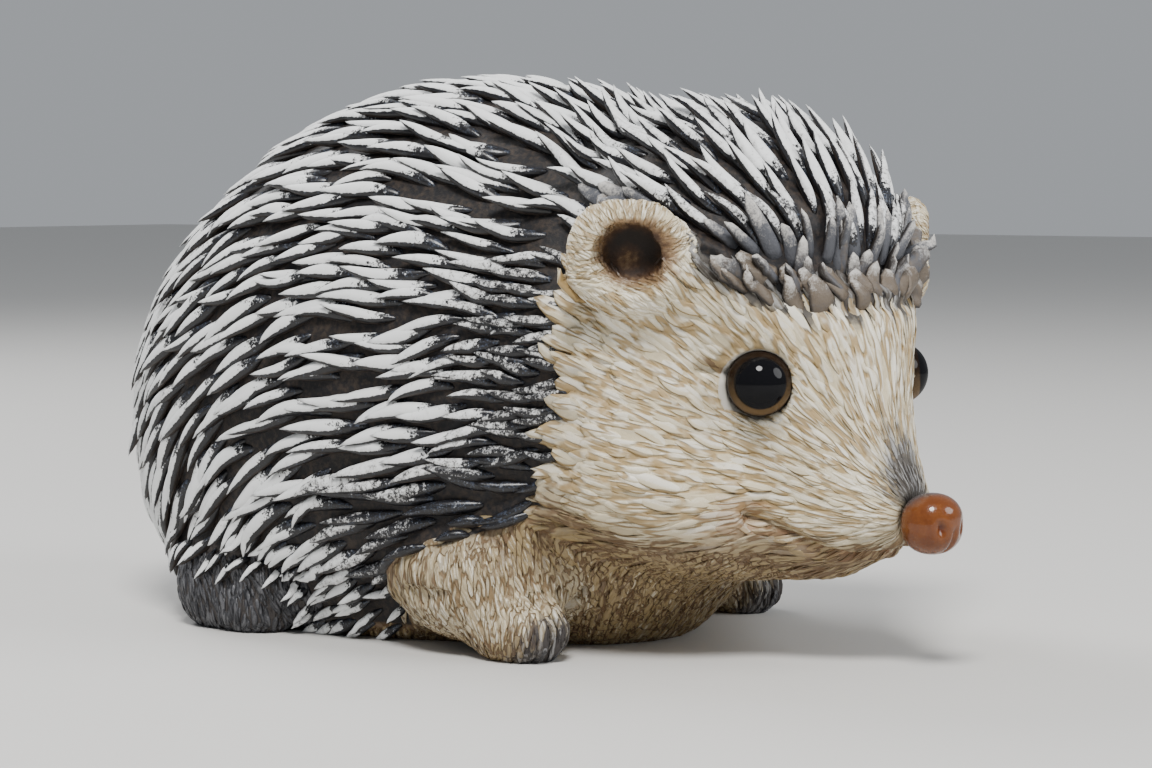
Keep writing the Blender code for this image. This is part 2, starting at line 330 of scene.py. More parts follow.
def softened(mesh, at, where, rounds):
    """Averages each point with its neighbours, as much as where says."""
    edges = np.empty(len(mesh.edges) * 2, np.int32)
    mesh.edges.foreach_get("vertices", edges)
    a, b = edges[::2], edges[1::2]
    a, b = np.concatenate([a, b]), np.concatenate([b, a])
    share = np.bincount(a, minlength=len(at))
    for _ in range(rounds):
        mean = np.stack([np.bincount(a, at[b, k], len(at)) for k in range(3)], axis=1) / share[:, None]
        at = at + (mean - at) * where[:, None]
    return at


def ear_cheek(e):
    """1 on the low front quarter of an ear, which runs into the cheek without an edge."""
    return ease(-e[:, 2] - 0.35 * e[:, 0], 0.5 * MM, 4 * MM)


def ear_root(p, side):
    """1 where the lower half of an ear meets the cheek."""
    e = ear_measures(p, side)
    ring = np.linalg.norm(e / np.array([EAR_RADIUS, 1.6 * EAR_HALF_THICKNESS, EAR_RADIUS]), axis=1)
    return bump(ring - 1.1, 0.34) * ear_cheek(e)


outer, _ = arrays_of(skin_mesh)
outer = softened(skin_mesh, outer, EAR_SOFTENING * either_side(ear_root, outer), EAR_SOFTENING_ROUNDS)
skin_mesh.vertices.foreach_set("co", outer.ravel())
skin_mesh.update()
outer, outer_normal = arrays_of(skin_mesh)
mantle = mantle_mask(outer)
print("share of the surface under quills: %.2f" % mantle.mean())

# %% [markdown]
# ## Sinking the skin
# The solids run out to the tips of the coat, so the skin lies inside them by the coat's depth: deep
# under the quills, shallow under carved fur. At the floor the depth runs out to nothing, so the
# ornament still stands on its own flat underside.

# %% Lay the skin inside the solids
QUILL_DEPTH = 3.1 * MM
FUR_DEPTH = 0.55 * MM
SINK_BLUR = 5 * MM
under_quills = mantle_mask(outer, SINK_BLUR) ** 1.5
depth = (FUR_DEPTH + (QUILL_DEPTH - FUR_DEPTH) * under_quills) * ease(outer[:, 2], 0.2 * MM, 4 * MM)
skin_at = outer - outer_normal * depth[:, None]
skin_at[:, 2] = np.where(outer[:, 2] < 0.35 * MM, 0, np.maximum(skin_at[:, 2], 0))
print("the skin lies up to %.1f mm inside the solids" % (depth.max() / MM))

# %% [markdown]
# ## Modelling the face
# The sculptor pressed a socket for each glass eye and left a soft lid around it, drew the mouth with
# a tool, dimpled its corner, and raised a torn lip along the hairline. Each of these is a small push
# along the surface, strong on a line and fading beside it, so it is made by moving the skin's own
# points.

# %% Lines of the mouth and lids
EYE_RADIUS = 5.1 * MM
LID_AWAY, LID_UP, LID_RADIUS = 0.15 * MM, -0.75 * MM, 5.8 * MM
GAZE_OUTWARD = radians(47)
MOUTH_STEPS = 40
FOLD_STEPS = 12


def mouth_curve(side):
    """The lip from under the nose, down and back, then up to its corner."""
    t = np.linspace(0, 1, MOUTH_STEPS)
    forward = (26.0 - 14.6 * t) * MM
    height = (18.4 + 0.6 * (1 - t) ** 3 + 4.8 * t**2.4) * MM
    sideways = np.sqrt(t) * (4 + 14 * t) * MM * SIDES[side]
    return from_head(np.stack([sideways, forward, height], axis=1))


def on_skin(points, tree):
    return np.array([tree.find_nearest(Vector(p))[0] for p in points])


def tree_of(mesh, at):
    polygons = [tuple(p.vertices) for p in mesh.polygons]
    return BVHTree.FromPolygons([Vector(v) for v in at], polygons)


def distance_to_points(p, line):
    best = np.full(len(p), 1.0)
    for q in line:
        best = np.minimum(best, np.linalg.norm(p - q, axis=1))
    return best


def beside_eye(side, away, up):
    """A place near an eye: away from the nose along the cheek, and up."""
    tangent = across * SIDES[side] * cos(GAZE_OUTWARD) - ahead * sin(GAZE_OUTWARD)
    return centre_of("eye_" + side) + tangent * away + UP * up


def fold_curve(side):
    """A short fold that leaves the outer corner of the eye."""
    steps = np.linspace(0, 1, FOLD_STEPS)
    return np.array([beside_eye(side, (4.4 + 4.8 * t) * MM, (1.4 + 0.6 * t) * MM) for t in steps])


rough_tree = tree_of(skin_mesh, skin_at)
mouths = {side: on_skin(mouth_curve(side), rough_tree) for side in SIDES}
folds = {side: on_skin(fold_curve(side), rough_tree) for side in SIDES}


def from_lid(p, side):
    """Distance from the middle of a lid."""
    return np.linalg.norm(p - beside_eye(side, LID_AWAY, LID_UP), axis=1)


def from_corner(p, side):
    """Distance from a corner of the mouth."""
    return np.linalg.norm(p - mouths[side][-1], axis=1)


for side in SIDES:
    print(side, "corner of the mouth (mm):", np.round(mouths[side][-1] / MM, 1))

# %% Press the lids, the mouth and the ear cups
LID_RAISED, FOLD_SUNK = 0.8 * MM, 1.1 * MM
MOUTH_SUNK, LIP_RAISED, CORNER_SUNK = 0.85 * MM, 0.35 * MM, 1.7 * MM
CUP_SUNK = 3.0 * MM
push = np.zeros(len(skin_at))
for side in SIDES:
    push += LID_RAISED * bump(from_lid(skin_at, side) - LID_RADIUS, 0.75 * MM)
    push -= FOLD_SUNK * bump(distance_to_points(skin_at, folds[side]), 0.9 * MM)
    lip = distance_to_points(skin_at, mouths[side])
    push -= MOUTH_SUNK * bump(lip, 0.9 * MM)
    push += LIP_RAISED * bump(lip - 2.0 * MM, 1.0 * MM)
    push -= CORNER_SUNK * bump(from_corner(skin_at, side), 2.3 * MM)
push -= CUP_SUNK * cup_mask(outer) ** 1.3
print("deepest push in the face (mm): %.2f" % (push.min() / MM))

# %% Tear the lip along the hairline
BROW_RAISED, BROW_SUNK, BROW_RAG = 0.9 * MM, 0.5 * MM, 0.8 * MM
s, g, z = to_head(outer).T
above_brow = z - hairline_height(s) - BROW_RAG * waves(outer, 5 * MM, 21)
on_brow = ease(g, -9 * MM, -5 * MM) * (1 - ear_mask(outer)) * (z > 40 * MM)
push += BROW_RAISED * on_brow * bump(above_brow - 1.5 * MM, 1.2 * MM)
push -= BROW_SUNK * on_brow * bump(above_brow + 0.9 * MM, 0.8 * MM)
print("points raised along the hairline:", int((on_brow * bump(above_brow, 2 * MM) > 0.5).sum()))

# %% Cut the toes
TOE_SPACING, TOE_SPREAD, TOE_CUT = 3.1 * MM, 0.12, 1.0 * MM
for node in LEGS:
    low, high = box_of(node)
    toe_front = low[1]
    front = 1 - ease(skin_at[:, 1], toe_front + 6 * MM, toe_front + 9 * MM)
    near = front * (skin_at[:, 2] < 11 * MM) * (skin_at[:, 0] > low[0]) * (skin_at[:, 0] < high[0])
    wrist = np.median(skin_at[(near > 0.5) & (skin_at[:, 1] < toe_front + 4 * MM)][:, 0])
    for k in (-1, 0, 1):
        cut = wrist + k * TOE_SPACING + k * TOE_SPREAD * (toe_front + 5 * MM - skin_at[:, 1])
        push -= TOE_CUT * near * bump(skin_at[:, 0] - cut, 0.55 * MM) * ease(skin_at[:, 2], 0, 2 * MM)
    print(node, "middle toe at x = %.1f mm" % (wrist / MM))

# %% Move the skin and clear the eye sockets
SOCKET_RADIUS = EYE_RADIUS + 0.1 * MM
skin_at = skin_at + outer_normal * push[:, None]
for side in SIDES:
    eye = from_head(eye_at[side])
    spoke = skin_at - eye
    reach = np.linalg.norm(spoke, axis=1)
    in_socket = (reach < SOCKET_RADIUS) & (reach > 0)
    skin_at = np.where(in_socket[:, None], eye + unit(spoke) * SOCKET_RADIUS, skin_at)
skin_at[:, 2] = np.maximum(skin_at[:, 2], 0)
skin_mesh.vertices.foreach_set("co", skin_at.ravel())
skin_mesh.update()
skin = object_from("skin", skin_mesh)
skin_at, skin_normal = arrays_of(skin_mesh)
skin_tree = tree_of(skin_mesh, skin_at)
face_points = np.array([list(p.vertices)[:3] for p in skin_mesh.polygons])
face_middle = skin_at[face_points].mean(axis=1)
face_normal = unit(skin_normal[face_points].sum(axis=1))
print("deepest push and highest lift (mm):", round(push.min() / MM, 2), round(push.max() / MM, 2))

# %% [markdown]
# ## The lie of the coat
# Quills and fur are combed. Quills stream away from the middle of the face, over the crown and back
# along the body, and sink towards the floor near the rump. Fur on the face streams away from the
# nose, and on a leg towards the toes. Each rule gives a direction in space, which is then laid flat
# on the surface. Slow waves keep it from looking ruled.

# %% Which way the coat lies
QUILL_SOURCE = from_head([0, 12 * MM, 40 * MM])
NOSE = from_head(nose_at)


def flat_on(direction, normal):
    """The part of a direction that runs along the surface."""
    return unit(direction - (direction * normal).sum(axis=1, keepdims=True) * normal)


def turned(direction, normal, angle):
    """Turns a direction on the surface."""
    side = np.cross(normal, direction)
    return direction * np.cos(angle)[:, None] + side * np.sin(angle)[:, None]


def combed(way, p, normal):
    """Lays a way flat on the surface and lets it wander a little."""
    angle = 0.20 * waves(p, 30 * MM, 3) + 0.12 * waves(p, 9 * MM, 4)
    return turned(flat_on(way, normal), normal, angle)


def lie_of_quills(p, normal):
    """Away from the middle of the face, sinking more and more towards the rump."""
    sink = 0.12 + 0.85 * ease(p[:, 1], 0, 75 * MM)
    sink += 0.25 * ease(-p[:, 2], -40 * MM, -10 * MM)
    sink -= 0.42 * ease(-p[:, 2], -38 * MM, -22 * MM) * (1 - ease(p[:, 1], 0, 25 * MM))
    return combed(unit(p - QUILL_SOURCE) - UP * sink[:, None], p, normal)


def lie_of_fur(p, normal):
    """Away from the nose, down on the chest and legs, outward on the rims of the ears."""
    fur = unit(p - NOSE)
    chest = ease(-p[:, 2], -19 * MM, -12 * MM) * ease(p[:, 1], -60 * MM, -46 * MM)
    fur = fur + (np.array([0, 0.3, -1.2]) - fur) * chest[:, None]
    fur = fur + (np.array([0.0, -0.45, -1.0]) - fur) * leg_mask(p)[:, None]
    way = combed(fur, p, normal)
    for side in SIDES:
        e = ear_measures(p, side)
        on_rim = (np.linalg.norm(e, axis=1) < 14 * MM) & (ear_mask(p) > 0.5) & (ear_cheek(e) < 0.5)
        spoke = unit(p - centre_of("ear_" + side)) + 0.3 * UP
        way = np.where(on_rim[:, None], flat_on(spoke, normal), way)
    return way


print("lie at the crown:", np.round(lie_of_quills(from_head([[0, 0, 88 * MM]]), UP[None])[0], 2))

# %% [markdown]
# ## Scattering roots
# Moulded quills sit like roof tiles: close side by side and further apart along their length. Points
# are thrown at random and kept only if no other stands within an oval around them that lies along
# the coat. A grid of cells keeps the search short. Then neighbours push each other apart a little at
# a time, which closes the bare gaps that chance leaves.

# %% Throw roots on the skin
ROOT_JITTER = 0.2 * MM
NEIGHBOURS = [(x, y, z) for x in (-1, 0, 1) for y in (-1, 0, 1) for z in (-1, 0, 1)]


def nearest(points):
    """The skin's place and smooth normal under each point."""
    at, normal = np.empty_like(points), np.empty_like(points)
    for i, p in enumerate(points):
        place, _, index, _ = skin_tree.find_nearest(Vector(p))
        at[i], normal[i] = place, face_normal[index]
    return at, normal


polygon_area = np.array([p.area for p in skin_mesh.polygons])


def scatter(lie, wanted, beside, between, count, seed):
    """Picks faces where wanted is high, keeping an oval of the given half-sizes free."""
    rng = np.random.default_rng(seed)
    weight = polygon_area * wanted
    picks = rng.choice(len(weight), size=count, p=weight / weight.sum())
    at, normal = face_middle[picks], face_normal[picks]
    at = at + rng.normal(size=at.shape) * ROOT_JITTER
    way = lie(at, normal)
    side = np.cross(normal, way)
    beside = np.broadcast_to(beside, len(weight))[picks]
    between = np.broadcast_to(between, len(weight))[picks]
    cell = between.max()
    cells, kept = {}, []
    keys = np.floor(at / cell).astype(int)
    for i in range(count):
        x, y, z = keys[i]
        free = True
        for dx, dy, dz in NEIGHBOURS:
            others = cells.get((x + dx, y + dy, z + dz))
            if others and free:
                d = at[others] - at[i]
                oval = (d @ way[i] / between[i]) ** 2 + (d @ side[i] / beside[i]) ** 2
                oval += (d @ normal[i] / between[i]) ** 2
                free = oval.min() >= 1
        if free:
            cells.setdefault((x, y, z), []).append(i)
            kept.append(i)
    return at[kept], normal[kept], rng


print("skin area to grow on (square cm): %.0f" % (polygon_area.sum() * 1e4))

# %% Let crowded roots push each other apart
REACH_OF_PUSH = 1.45
STEP_OF_PUSH = 0.16


def settle(lie, at, normal, allowed, beside, between, rounds):
    """Moves crowded roots apart until they lie evenly, like laid tiles."""
    for _ in range(rounds):
        way = lie(at, normal)
        side = np.cross(normal, way)
        gap = at[:, None] - at[None]
        u = np.einsum("ijk,ik->ij", gap, way) / between[:, None]
        v = np.einsum("ijk,ik->ij", gap, side) / beside[:, None]
        w = np.einsum("ijk,ik->ij", gap, normal) / between[:, None]
        far = np.sqrt(u * u + v * v + w * w)
        np.fill_diagonal(far, 9)
        press = np.clip(REACH_OF_PUSH - far, 0, None) / np.maximum(far, 0.2)
        move = way * ((u * press).sum(axis=1) * between)[:, None]
        move = move + side * ((v * press).sum(axis=1) * beside)[:, None]
        moved, moved_normal = nearest(at + STEP_OF_PUSH * move)
        ok = allowed(moved) > 0.5
        at = np.where(ok[:, None], moved, at)
        normal = np.where(ok[:, None], moved_normal, normal)
    return at, normal


# %% [markdown]
# ## Growing a lock
# A quill or a lock of fur is a closed pod: a path that starts in the skin, follows the lie of the
# coat over the surface and lifts towards its tip, with rings set across it. Its rings are wide in
# the middle and come to a point at each end. Every point remembers how far along it is and whether
# it faces out and up, so paint can be brushed on what stands proud, and painted light laid on the
# upper side of each pod and painted shade on its lower side.

# %% Walk along the coat
def march(lie, roots, lengths, stations, spread, bend):
    """Walks each root along the coat; gives the places and normals at its stations."""
    at, normal = nearest(roots)
    places, normals = [at], [normal]
    for k in range(stations - 1):
        way = lie(at, normal)
        way = turned(way, normal, spread + bend * (k / (stations - 1) - 0.5))
        at, normal = nearest(at + way * (lengths / (stations - 1))[:, None])
        places.append(at)
        normals.append(normal)
    return np.stack(places, axis=1), np.stack(normals, axis=1)


print("a 12 mm walk from the crown ends at (mm):",
      np.round(march(lie_of_quills, from_head([[0, 0, 88 * MM]]), np.array([12 * MM]), 5, np.zeros(1),
                     np.zeros(1))[0][0, -1] / MM, 1))

# %% Set rings on each path
# The lift leans this much towards the sky, so paint keyed to it puts painted light on each pod's upper side
# and painted shade on its lower side, on top of where the brush reached.
SKYWARD = 0.8
ROOT_LIFT, TIP_LIFT = -0.5, 0.7


def pod_arrays(spine, normal, half_width, rise, sag, ring, roll):
    """Rings across each spine and a point at both ends: vertices, faces and marks."""
    count, stations = spine.shape[:2]
    way = unit(np.gradient(spine, axis=1))
    side = unit(np.cross(normal, way))
    out = np.cross(way, side)
    c, s = np.cos(roll)[:, None, None], np.sin(roll)[:, None, None]
    side, out = side * c + out * s, out * c - side * s
    turn = 2 * pi * np.arange(ring) / ring
    wide, high = np.cos(turn), np.sin(turn)
    thick = np.where(high[None, None, :] > 0, rise[..., None], sag[..., None]) * high
    rings = spine[:, 1:-1, None] + side[:, 1:-1, None] * (half_width[:, 1:-1, None] * wide)[..., None]
    rings = rings + out[:, 1:-1, None] * thick[:, 1:-1][..., None]
    inner = stations - 2
    per = inner * ring + 2
    verts = np.concatenate([rings.reshape(count, -1, 3), spine[:, :1], spine[:, -1:]], axis=1)
    quads, ends = [], []
    for k in range(inner - 1):
        for j in range(ring):
            n = (j + 1) % ring
            quads.append((k * ring + j, k * ring + n, (k + 1) * ring + n, (k + 1) * ring + j))
    last = (inner - 1) * ring
    for j in range(ring):
        n = (j + 1) % ring
        ends.append((per - 2, n, j))
        ends.append((per - 1, last + j, last + n))
    base = np.arange(count)[:, None, None] * per
    t = np.linspace(0, 1, stations)
    along = np.concatenate([np.repeat(t[1:-1], ring), [0, 1]])
    around = np.concatenate([np.tile(np.cos(turn), inner), [0, 0]])
    # Leaning the lift towards the sky makes the paint of every pod lighter on top, as painted light from
    # above.
    sky = unit(out + SKYWARD * (UP - (way @ UP)[..., None] * way))
    lift = (sky * out).sum(axis=2)[:, 1:-1, None] * high + (sky * side).sum(axis=2)[:, 1:-1, None] * wide
    ends_lift = np.tile([ROOT_LIFT, TIP_LIFT], (count, 1))
    lift = np.concatenate([lift.reshape(count, -1), ends_lift], axis=1)
    quads = (base + np.array(quads)).reshape(-1, 4)
    ends = (base + np.array(ends)).reshape(-1, 3)
    marks = {"along": np.tile(along, count), "around": np.tile(around, count), "lift": lift.ravel()}
    return verts.reshape(-1, 3), quads, ends, marks, per


def mesh_from(name, verts, quads, triangles):
    """A mesh from arrays, quads first."""
    mesh = bpy.data.meshes.new(name)
    mesh.vertices.add(len(verts))
    mesh.vertices.foreach_set("co", np.asarray(verts, np.float32).ravel())
    loops = np.concatenate([quads.ravel(), triangles.ravel()]).astype(np.int32)
    starts = np.concatenate([np.arange(len(quads)) * 4, len(quads) * 4 + np.arange(len(triangles)) * 3])
    mesh.loops.add(len(loops))
    mesh.loops.foreach_set("vertex_index", loops)
    mesh.polygons.add(len(starts))
    mesh.polygons.foreach_set("loop_start", starts.astype(np.int32))
    mesh.update(calc_edges=True)
    mesh.polygons.foreach_set("use_smooth", np.ones(len(starts), bool))
    return mesh


def remember(mesh, **values):
    """Stores a value, or three, with every point of a mesh for the paint to read."""
    for name, value in values.items():
        value = np.asarray(value, np.float32)
        kind, field = ("FLOAT_VECTOR", "vector") if value.ndim == 2 else ("FLOAT", "value")
        mesh.attributes.new(name, kind, "POINT").data.foreach_set(field, value.ravel())


# %% [markdown]
# ## The carver's lines
# Between the big locks the fur is drawn with fine grooves. On the head they fan out from the nose
# like lines of longitude, in the ears they ring the cup, and on chest and legs they run down. Each
# point remembers where it stands on that fan, and how coarse the lines are there, so that one groove
# can run across skin and locks alike.

# %% Where each point stands on the fan of lines
HEAD_AXIS = unit(from_head([0, -10 * MM, 36 * MM]) - NOSE)
FAN_UP = np.cross(HEAD_AXIS, across)
LINE_LENGTH = 8.0 * MM
FINEST_RING = 6.0 * MM
EAR_LINES = 1.5
EAR_SOFT_LINES = 0.14


def downward_mask(p):
    """1 where the fur hangs down instead of fanning out from the nose."""
    chest = ease(-p[:, 2], -21 * MM, -14 * MM) * ease(p[:, 1], -62 * MM, -48 * MM)
    return np.maximum(chest, leg_mask(p))


def fan_marks(p):
    """Place on the fan (around as a cosine and sine, and along) and shares of three widths of line."""
    q = p - NOSE
    fan = np.stack([q @ across, q @ FAN_UP], axis=1)
    ring = np.linalg.norm(fan, axis=1)
    reach = np.linalg.norm(q, axis=1)
    finer = 1.6 - 0.6 * ease(reach, 8 * MM, 38 * MM)
    seam = np.zeros(len(p))
    for side in SIDES:
        e = ear_measures(p, side)
        rim = ear_mask(p) * (np.linalg.norm(e, axis=1) < 16 * MM) * (1 - ear_cheek(e))
        in_ear = rim > 0.5
        seam = np.maximum(seam, np.maximum(ease(4 * rim * (1 - rim), 0, 0.35), EAR_SOFT_LINES * rim))
        spoke = e[:, [0, 2]] - [-CUP_FORWARD, CUP_UP]
        fan = np.where(in_ear[:, None], spoke, fan)
        ring = np.where(in_ear, np.linalg.norm(spoke, axis=1), ring)
        reach = np.where(in_ear, 2 * ring, reach)
        finer = np.where(in_ear, EAR_LINES, finer)
    level = np.clip(np.log2(np.maximum(ring * finer, 1e-6) / FINEST_RING), 0, 3)
    shares = [np.clip(1 - np.abs(level - k), 0, 1) for k in range(3)]
    place = np.column_stack([fan / np.maximum(ring, 1e-6)[:, None], reach / LINE_LENGTH])
    return {"fan": place, "fineness": np.stack(shares, axis=1), "downward": downward_mask(p), "seam": seam}


print("the fan's axis points (x, y, z):", np.round(HEAD_AXIS, 2))

# %% [markdown]
# ## A map for each pod
# When the model is exported its paint is baked into pictures, so every pod needs its own patch of
# the map. Each pod is unrolled into an upright strip. The strips stand in rows down the body and,
# within a row, in order around it, so neighbours on the skin are neighbours on the map.

# %% Unroll the pods
BAKE_MAP = "OFBake"
PATCH_FILL = 0.9
BODY_AXIS_HEIGHT = 40 * MM


def patch_order(roots, columns):
    """Gives each root its place in rows down the body, ordered around it."""
    place = np.empty(len(roots), int)
    by_length = np.argsort(roots[:, 1], kind="stable")
    around = np.arctan2(roots[:, 2] - BODY_AXIS_HEIGHT, roots[:, 0])
    for start in range(0, len(roots), columns):
        row = by_length[start:start + columns]
        place[row[np.argsort(around[row])]] = start + np.arange(len(row))
    return place


def unroll(mesh, roots, ring, stations):
    """Writes the map of a mesh made by pod_arrays."""
    columns = int(np.ceil(np.sqrt(len(roots))))
    rows = int(np.ceil(len(roots) / columns))
    place = patch_order(roots, columns)
    corner = np.stack([place % columns / columns, place // columns / rows], axis=1)
    size = np.array([PATCH_FILL / columns, PATCH_FILL / rows])
    j, k = np.meshgrid(np.arange(ring), np.arange(stations - 3))
    left, right = j.ravel() / ring, (j.ravel() + 1) / ring
    low, high = (k.ravel() + 1) / (stations - 1), (k.ravel() + 2) / (stations - 1)
    strip = [np.stack(c, axis=1) for c in ((left, low), (right, low), (right, high), (left, high))]
    quad = np.stack(strip, axis=1)
    tips = []
    first, last = 1 / (stations - 1), (stations - 2) / (stations - 1)
    for m in range(ring):
        a, b, middle = m / ring, (m + 1) / ring, (m + 0.5) / ring
        tips.append([[middle, 0], [b, first], [a, first]])
        tips.append([[middle, 1], [a, last], [b, last]])
    quads = corner[:, None, None] + quad[None] * size
    tips = corner[:, None, None] + np.array(tips)[None] * size
    layer = mesh.uv_layers.new(name=BAKE_MAP)
    layer.data.foreach_set("uv", np.concatenate([quads.ravel(), tips.ravel()]).astype(np.float32))


# %% Make a piece of the coat
FLOOR_CLEARANCE = 0.05 * MM
coat_pieces = []


def coat_piece(name, finish_slot, spine, normal, half_width, rise, sag, ring, roll, **paint):
    """One solid mesh of many pods, with its paint values and its map."""
    verts, quads, ends, marks, per = pod_arrays(spine, normal, half_width, rise, sag, ring, roll)
    verts[:, 2] = np.maximum(verts[:, 2], FLOOR_CLEARANCE)
    mesh = mesh_from(name, verts, quads, ends)
    if "wash" in paint:
        marks.update(fan_marks(verts), cup=cup_mask(verts))
    remember(mesh, **marks, **{k: np.repeat(v, per) for k, v in paint.items()})
    unroll(mesh, spine[:, 0], ring, spine.shape[1])
    obj = object_from(name, mesh)
    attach(obj, "root")
    coat_pieces.append(obj)
    print(name, len(spine), "pods,", 2 * len(quads) + len(ends), "triangles")


# %% [markdown]
# ## Paint masks
# Some places carry a different colour from the rest. The grey of the quills runs a little way down
# the brow and along the bridge of the snout, the feet are painted grey, and the brown wash is left
# darker under the jaw and on the chest. The grey under the fringe and the dark under the jaw, on the
# chest and in the creases are also painted shade. Each is a soft rule of place.

# %% Grey over the cream, and painted shade under the fringe
def grey_mask(p):
    """1 where the grey of the quills covers the cream: brow, bridge, paws and hind feet, and painted shade
    under the fringe.
    """
    s, g, z = to_head(p).T
    on_head = ease(g, -6 * MM, 0)
    line = hairline_height(s)
    # Grey runs down below the hairline, where it also stands for painted shade under the fringe.
    brow = ease(z, line - 8 * MM, line - 0.5 * MM) * on_head
    bridge = bump(s, 5.5 * MM) * ease(g, 18 * MM, 24 * MM) * ease(z, 23 * MM, 27 * MM)
    bridge = bridge * (1 - ease(z, 29 * MM, 42 * MM))
    paws = np.zeros(len(p))
    for node in FORELEGS:
        low, _ = box_of(node)
        paws = np.maximum(paws, 1 - ease(p[:, 1] + 0.6 * p[:, 2], low[1] + 3 * MM, low[1] + 14 * MM))
    paws = paws * ease(-p[:, 2], -12 * MM, -8 * MM) * ease(np.abs(p[:, 0]), 20 * MM, 24 * MM)
    hind = ease(p[:, 1], 12 * MM, 20 * MM)
    edge = 0.5 * mantle_mask(p, 4 * MM)
    grey = np.max([0.92 * brow, 0.95 * bridge, paws, hind, edge], axis=0)
    return np.clip(grey * (1 - ear_mask(p)), 0, 1)


# %% Brown wash and painted shade in the creases
def around_cup(p, side):
    ring, front = cup_measures(p, side)
    return (1 - ease(ring, 1.0, 1.7)) * (front > 0)


def by_lip(p, side):
    return bump(distance_to_points(p, mouths[side][::4]), 1.8 * MM)


def by_fold(p, side):
    return bump(distance_to_points(p, folds[side][::2]), 1.1 * MM)


def wash_mask(p):
    """1 where the brown wash was left dark and shade is painted: jaw, chest, armpit and the creases of the
    face.
    """
    _, g, z = to_head(p).T
    # Darker under the jaw and chest and in the armpit: painted shade there as well as wash.
    jaw = 0.25 * ease(-z, -32 * MM, -24 * MM) + 0.75 * ease(-z, -24 * MM, -15 * MM)
    arm = leg_shape(p, FORELEGS) * ease(p[:, 2], 2 * MM, 6 * MM)
    armpit = bump(z - 21 * MM, 4.5 * MM) * bump(g + 17 * MM, 11 * MM)
    near_cup = either_side(around_cup, p) * ear_mask(p)
    # The lip, the fold by the eye and the ring round the ear cup are darkened as painted shade in the
    # creases as well as wash.
    creases = 0.75 * armpit + 0.4 * either_side(by_lip, p) + 0.8 * either_side(by_fold, p) + 0.4 * near_cup
    return np.clip(jaw * (1 - 0.45 * arm) + creases, 0, 1)


# %% Rust and lids, and the skin's own marks
def by_mouth(p, side):
    """Along the mouth, and more at its corner."""
    line = 0.7 * bump(distance_to_points(p, mouths[side][::2]), 0.8 * MM)
    return np.maximum(line, bump(from_corner(p, side), 3.0 * MM))


def on_lid(p, side):
    return 1 - ease(from_lid(p, side), LID_RADIUS, LID_RADIUS + 0.7 * MM)


def rust_mask(p):
    return either_side(by_mouth, p)


def lid_mask(p):
    return either_side(on_lid, p)


SKIN_PAINT_BLUR = 2.5 * MM
skin_marks = {"mantle": mantle_mask(skin_at, SKIN_PAINT_BLUR), "cup": cup_mask(skin_at),
              "grey": grey_mask(skin_at), "wash": wash_mask(skin_at), "rust": rust_mask(skin_at),
              "lid": lid_mask(skin_at)}
remember(skin_mesh, **skin_marks, **fan_marks(skin_at))
print("share of the skin under each paint:", {k: round(float(v.mean()), 3) for k, v in skin_marks.items()})

# %% [markdown]
# ## The quills
# Each moulded quill is a thick leaf about 14 mm long. It leaves the skin low, rises, and ends in a
# point that stands over the root of the next. Near the face and on the shoulder they are shorter
# and their white is duller. The crown's are slim and stand up a little.

# %% Root the quills
QUILL_BESIDE = 2.5 * MM
QUILL_BETWEEN = 8.0 * MM
QUILL_THROWS = 34000
QUILL_THROW_ROOM = 0.87
QUILL_SETTLING = 15
NECK_CROWDING = 0.16


def quill_size(p):
    """Smaller near the face, on the shoulder and by the floor; slim on the crown."""
    s, g, z = to_head(p).T
    neck = ease(g, -34 * MM, -14 * MM) * (1 - ease(z, 58 * MM, 72 * MM))
    above = z - hairline_height(s)
    brow = ease(g, -14 * MM, 6 * MM) * (1 - ease(above, 8 * MM, 18 * MM))
    low = 0.38 * (1 - ease(p[:, 2], 6 * MM, 26 * MM)) * (1 - neck)
    crown = ease(g, -34 * MM, -12 * MM) * ease(z, 62 * MM, 74 * MM)
    return 1 - 0.34 * neck - low - 0.05 * brow * (1 - neck) - 0.12 * crown, crown, neck


def quill_ground(p):
    """Where quills may root: on the mantle, clear of the fringe and the floor."""
    s, _, z = to_head(p).T
    clear_of_ruff = 2.5 * MM + 2.5 * MM * ease(-z, -30 * MM, -22 * MM)
    clear_of_fringe = (z > hairline_height(s) + 6 * MM) | (ahead_of_ruff(p) < -clear_of_ruff)
    return mantle_mask(p, 0.5 * MM) * clear_of_fringe * (p[:, 2] > 1.6 * MM)


size, _, neck = quill_size(face_middle)
room = QUILL_THROW_ROOM * size * (1 - NECK_CROWDING * neck)
roots, root_normal, rng = scatter(lie_of_quills, quill_ground(face_middle), QUILL_BESIDE * room,
                                  QUILL_BETWEEN * room, QUILL_THROWS, 11)
size, _, neck = quill_size(roots)
room = size * (1 - NECK_CROWDING * neck)
roots, root_normal = settle(lie_of_quills, roots, root_normal, quill_ground, QUILL_BESIDE * room,
                            QUILL_BETWEEN * room, QUILL_SETTLING)
size, crown, neck = quill_size(roots)
count = len(roots)
print("rooted quills:", count)

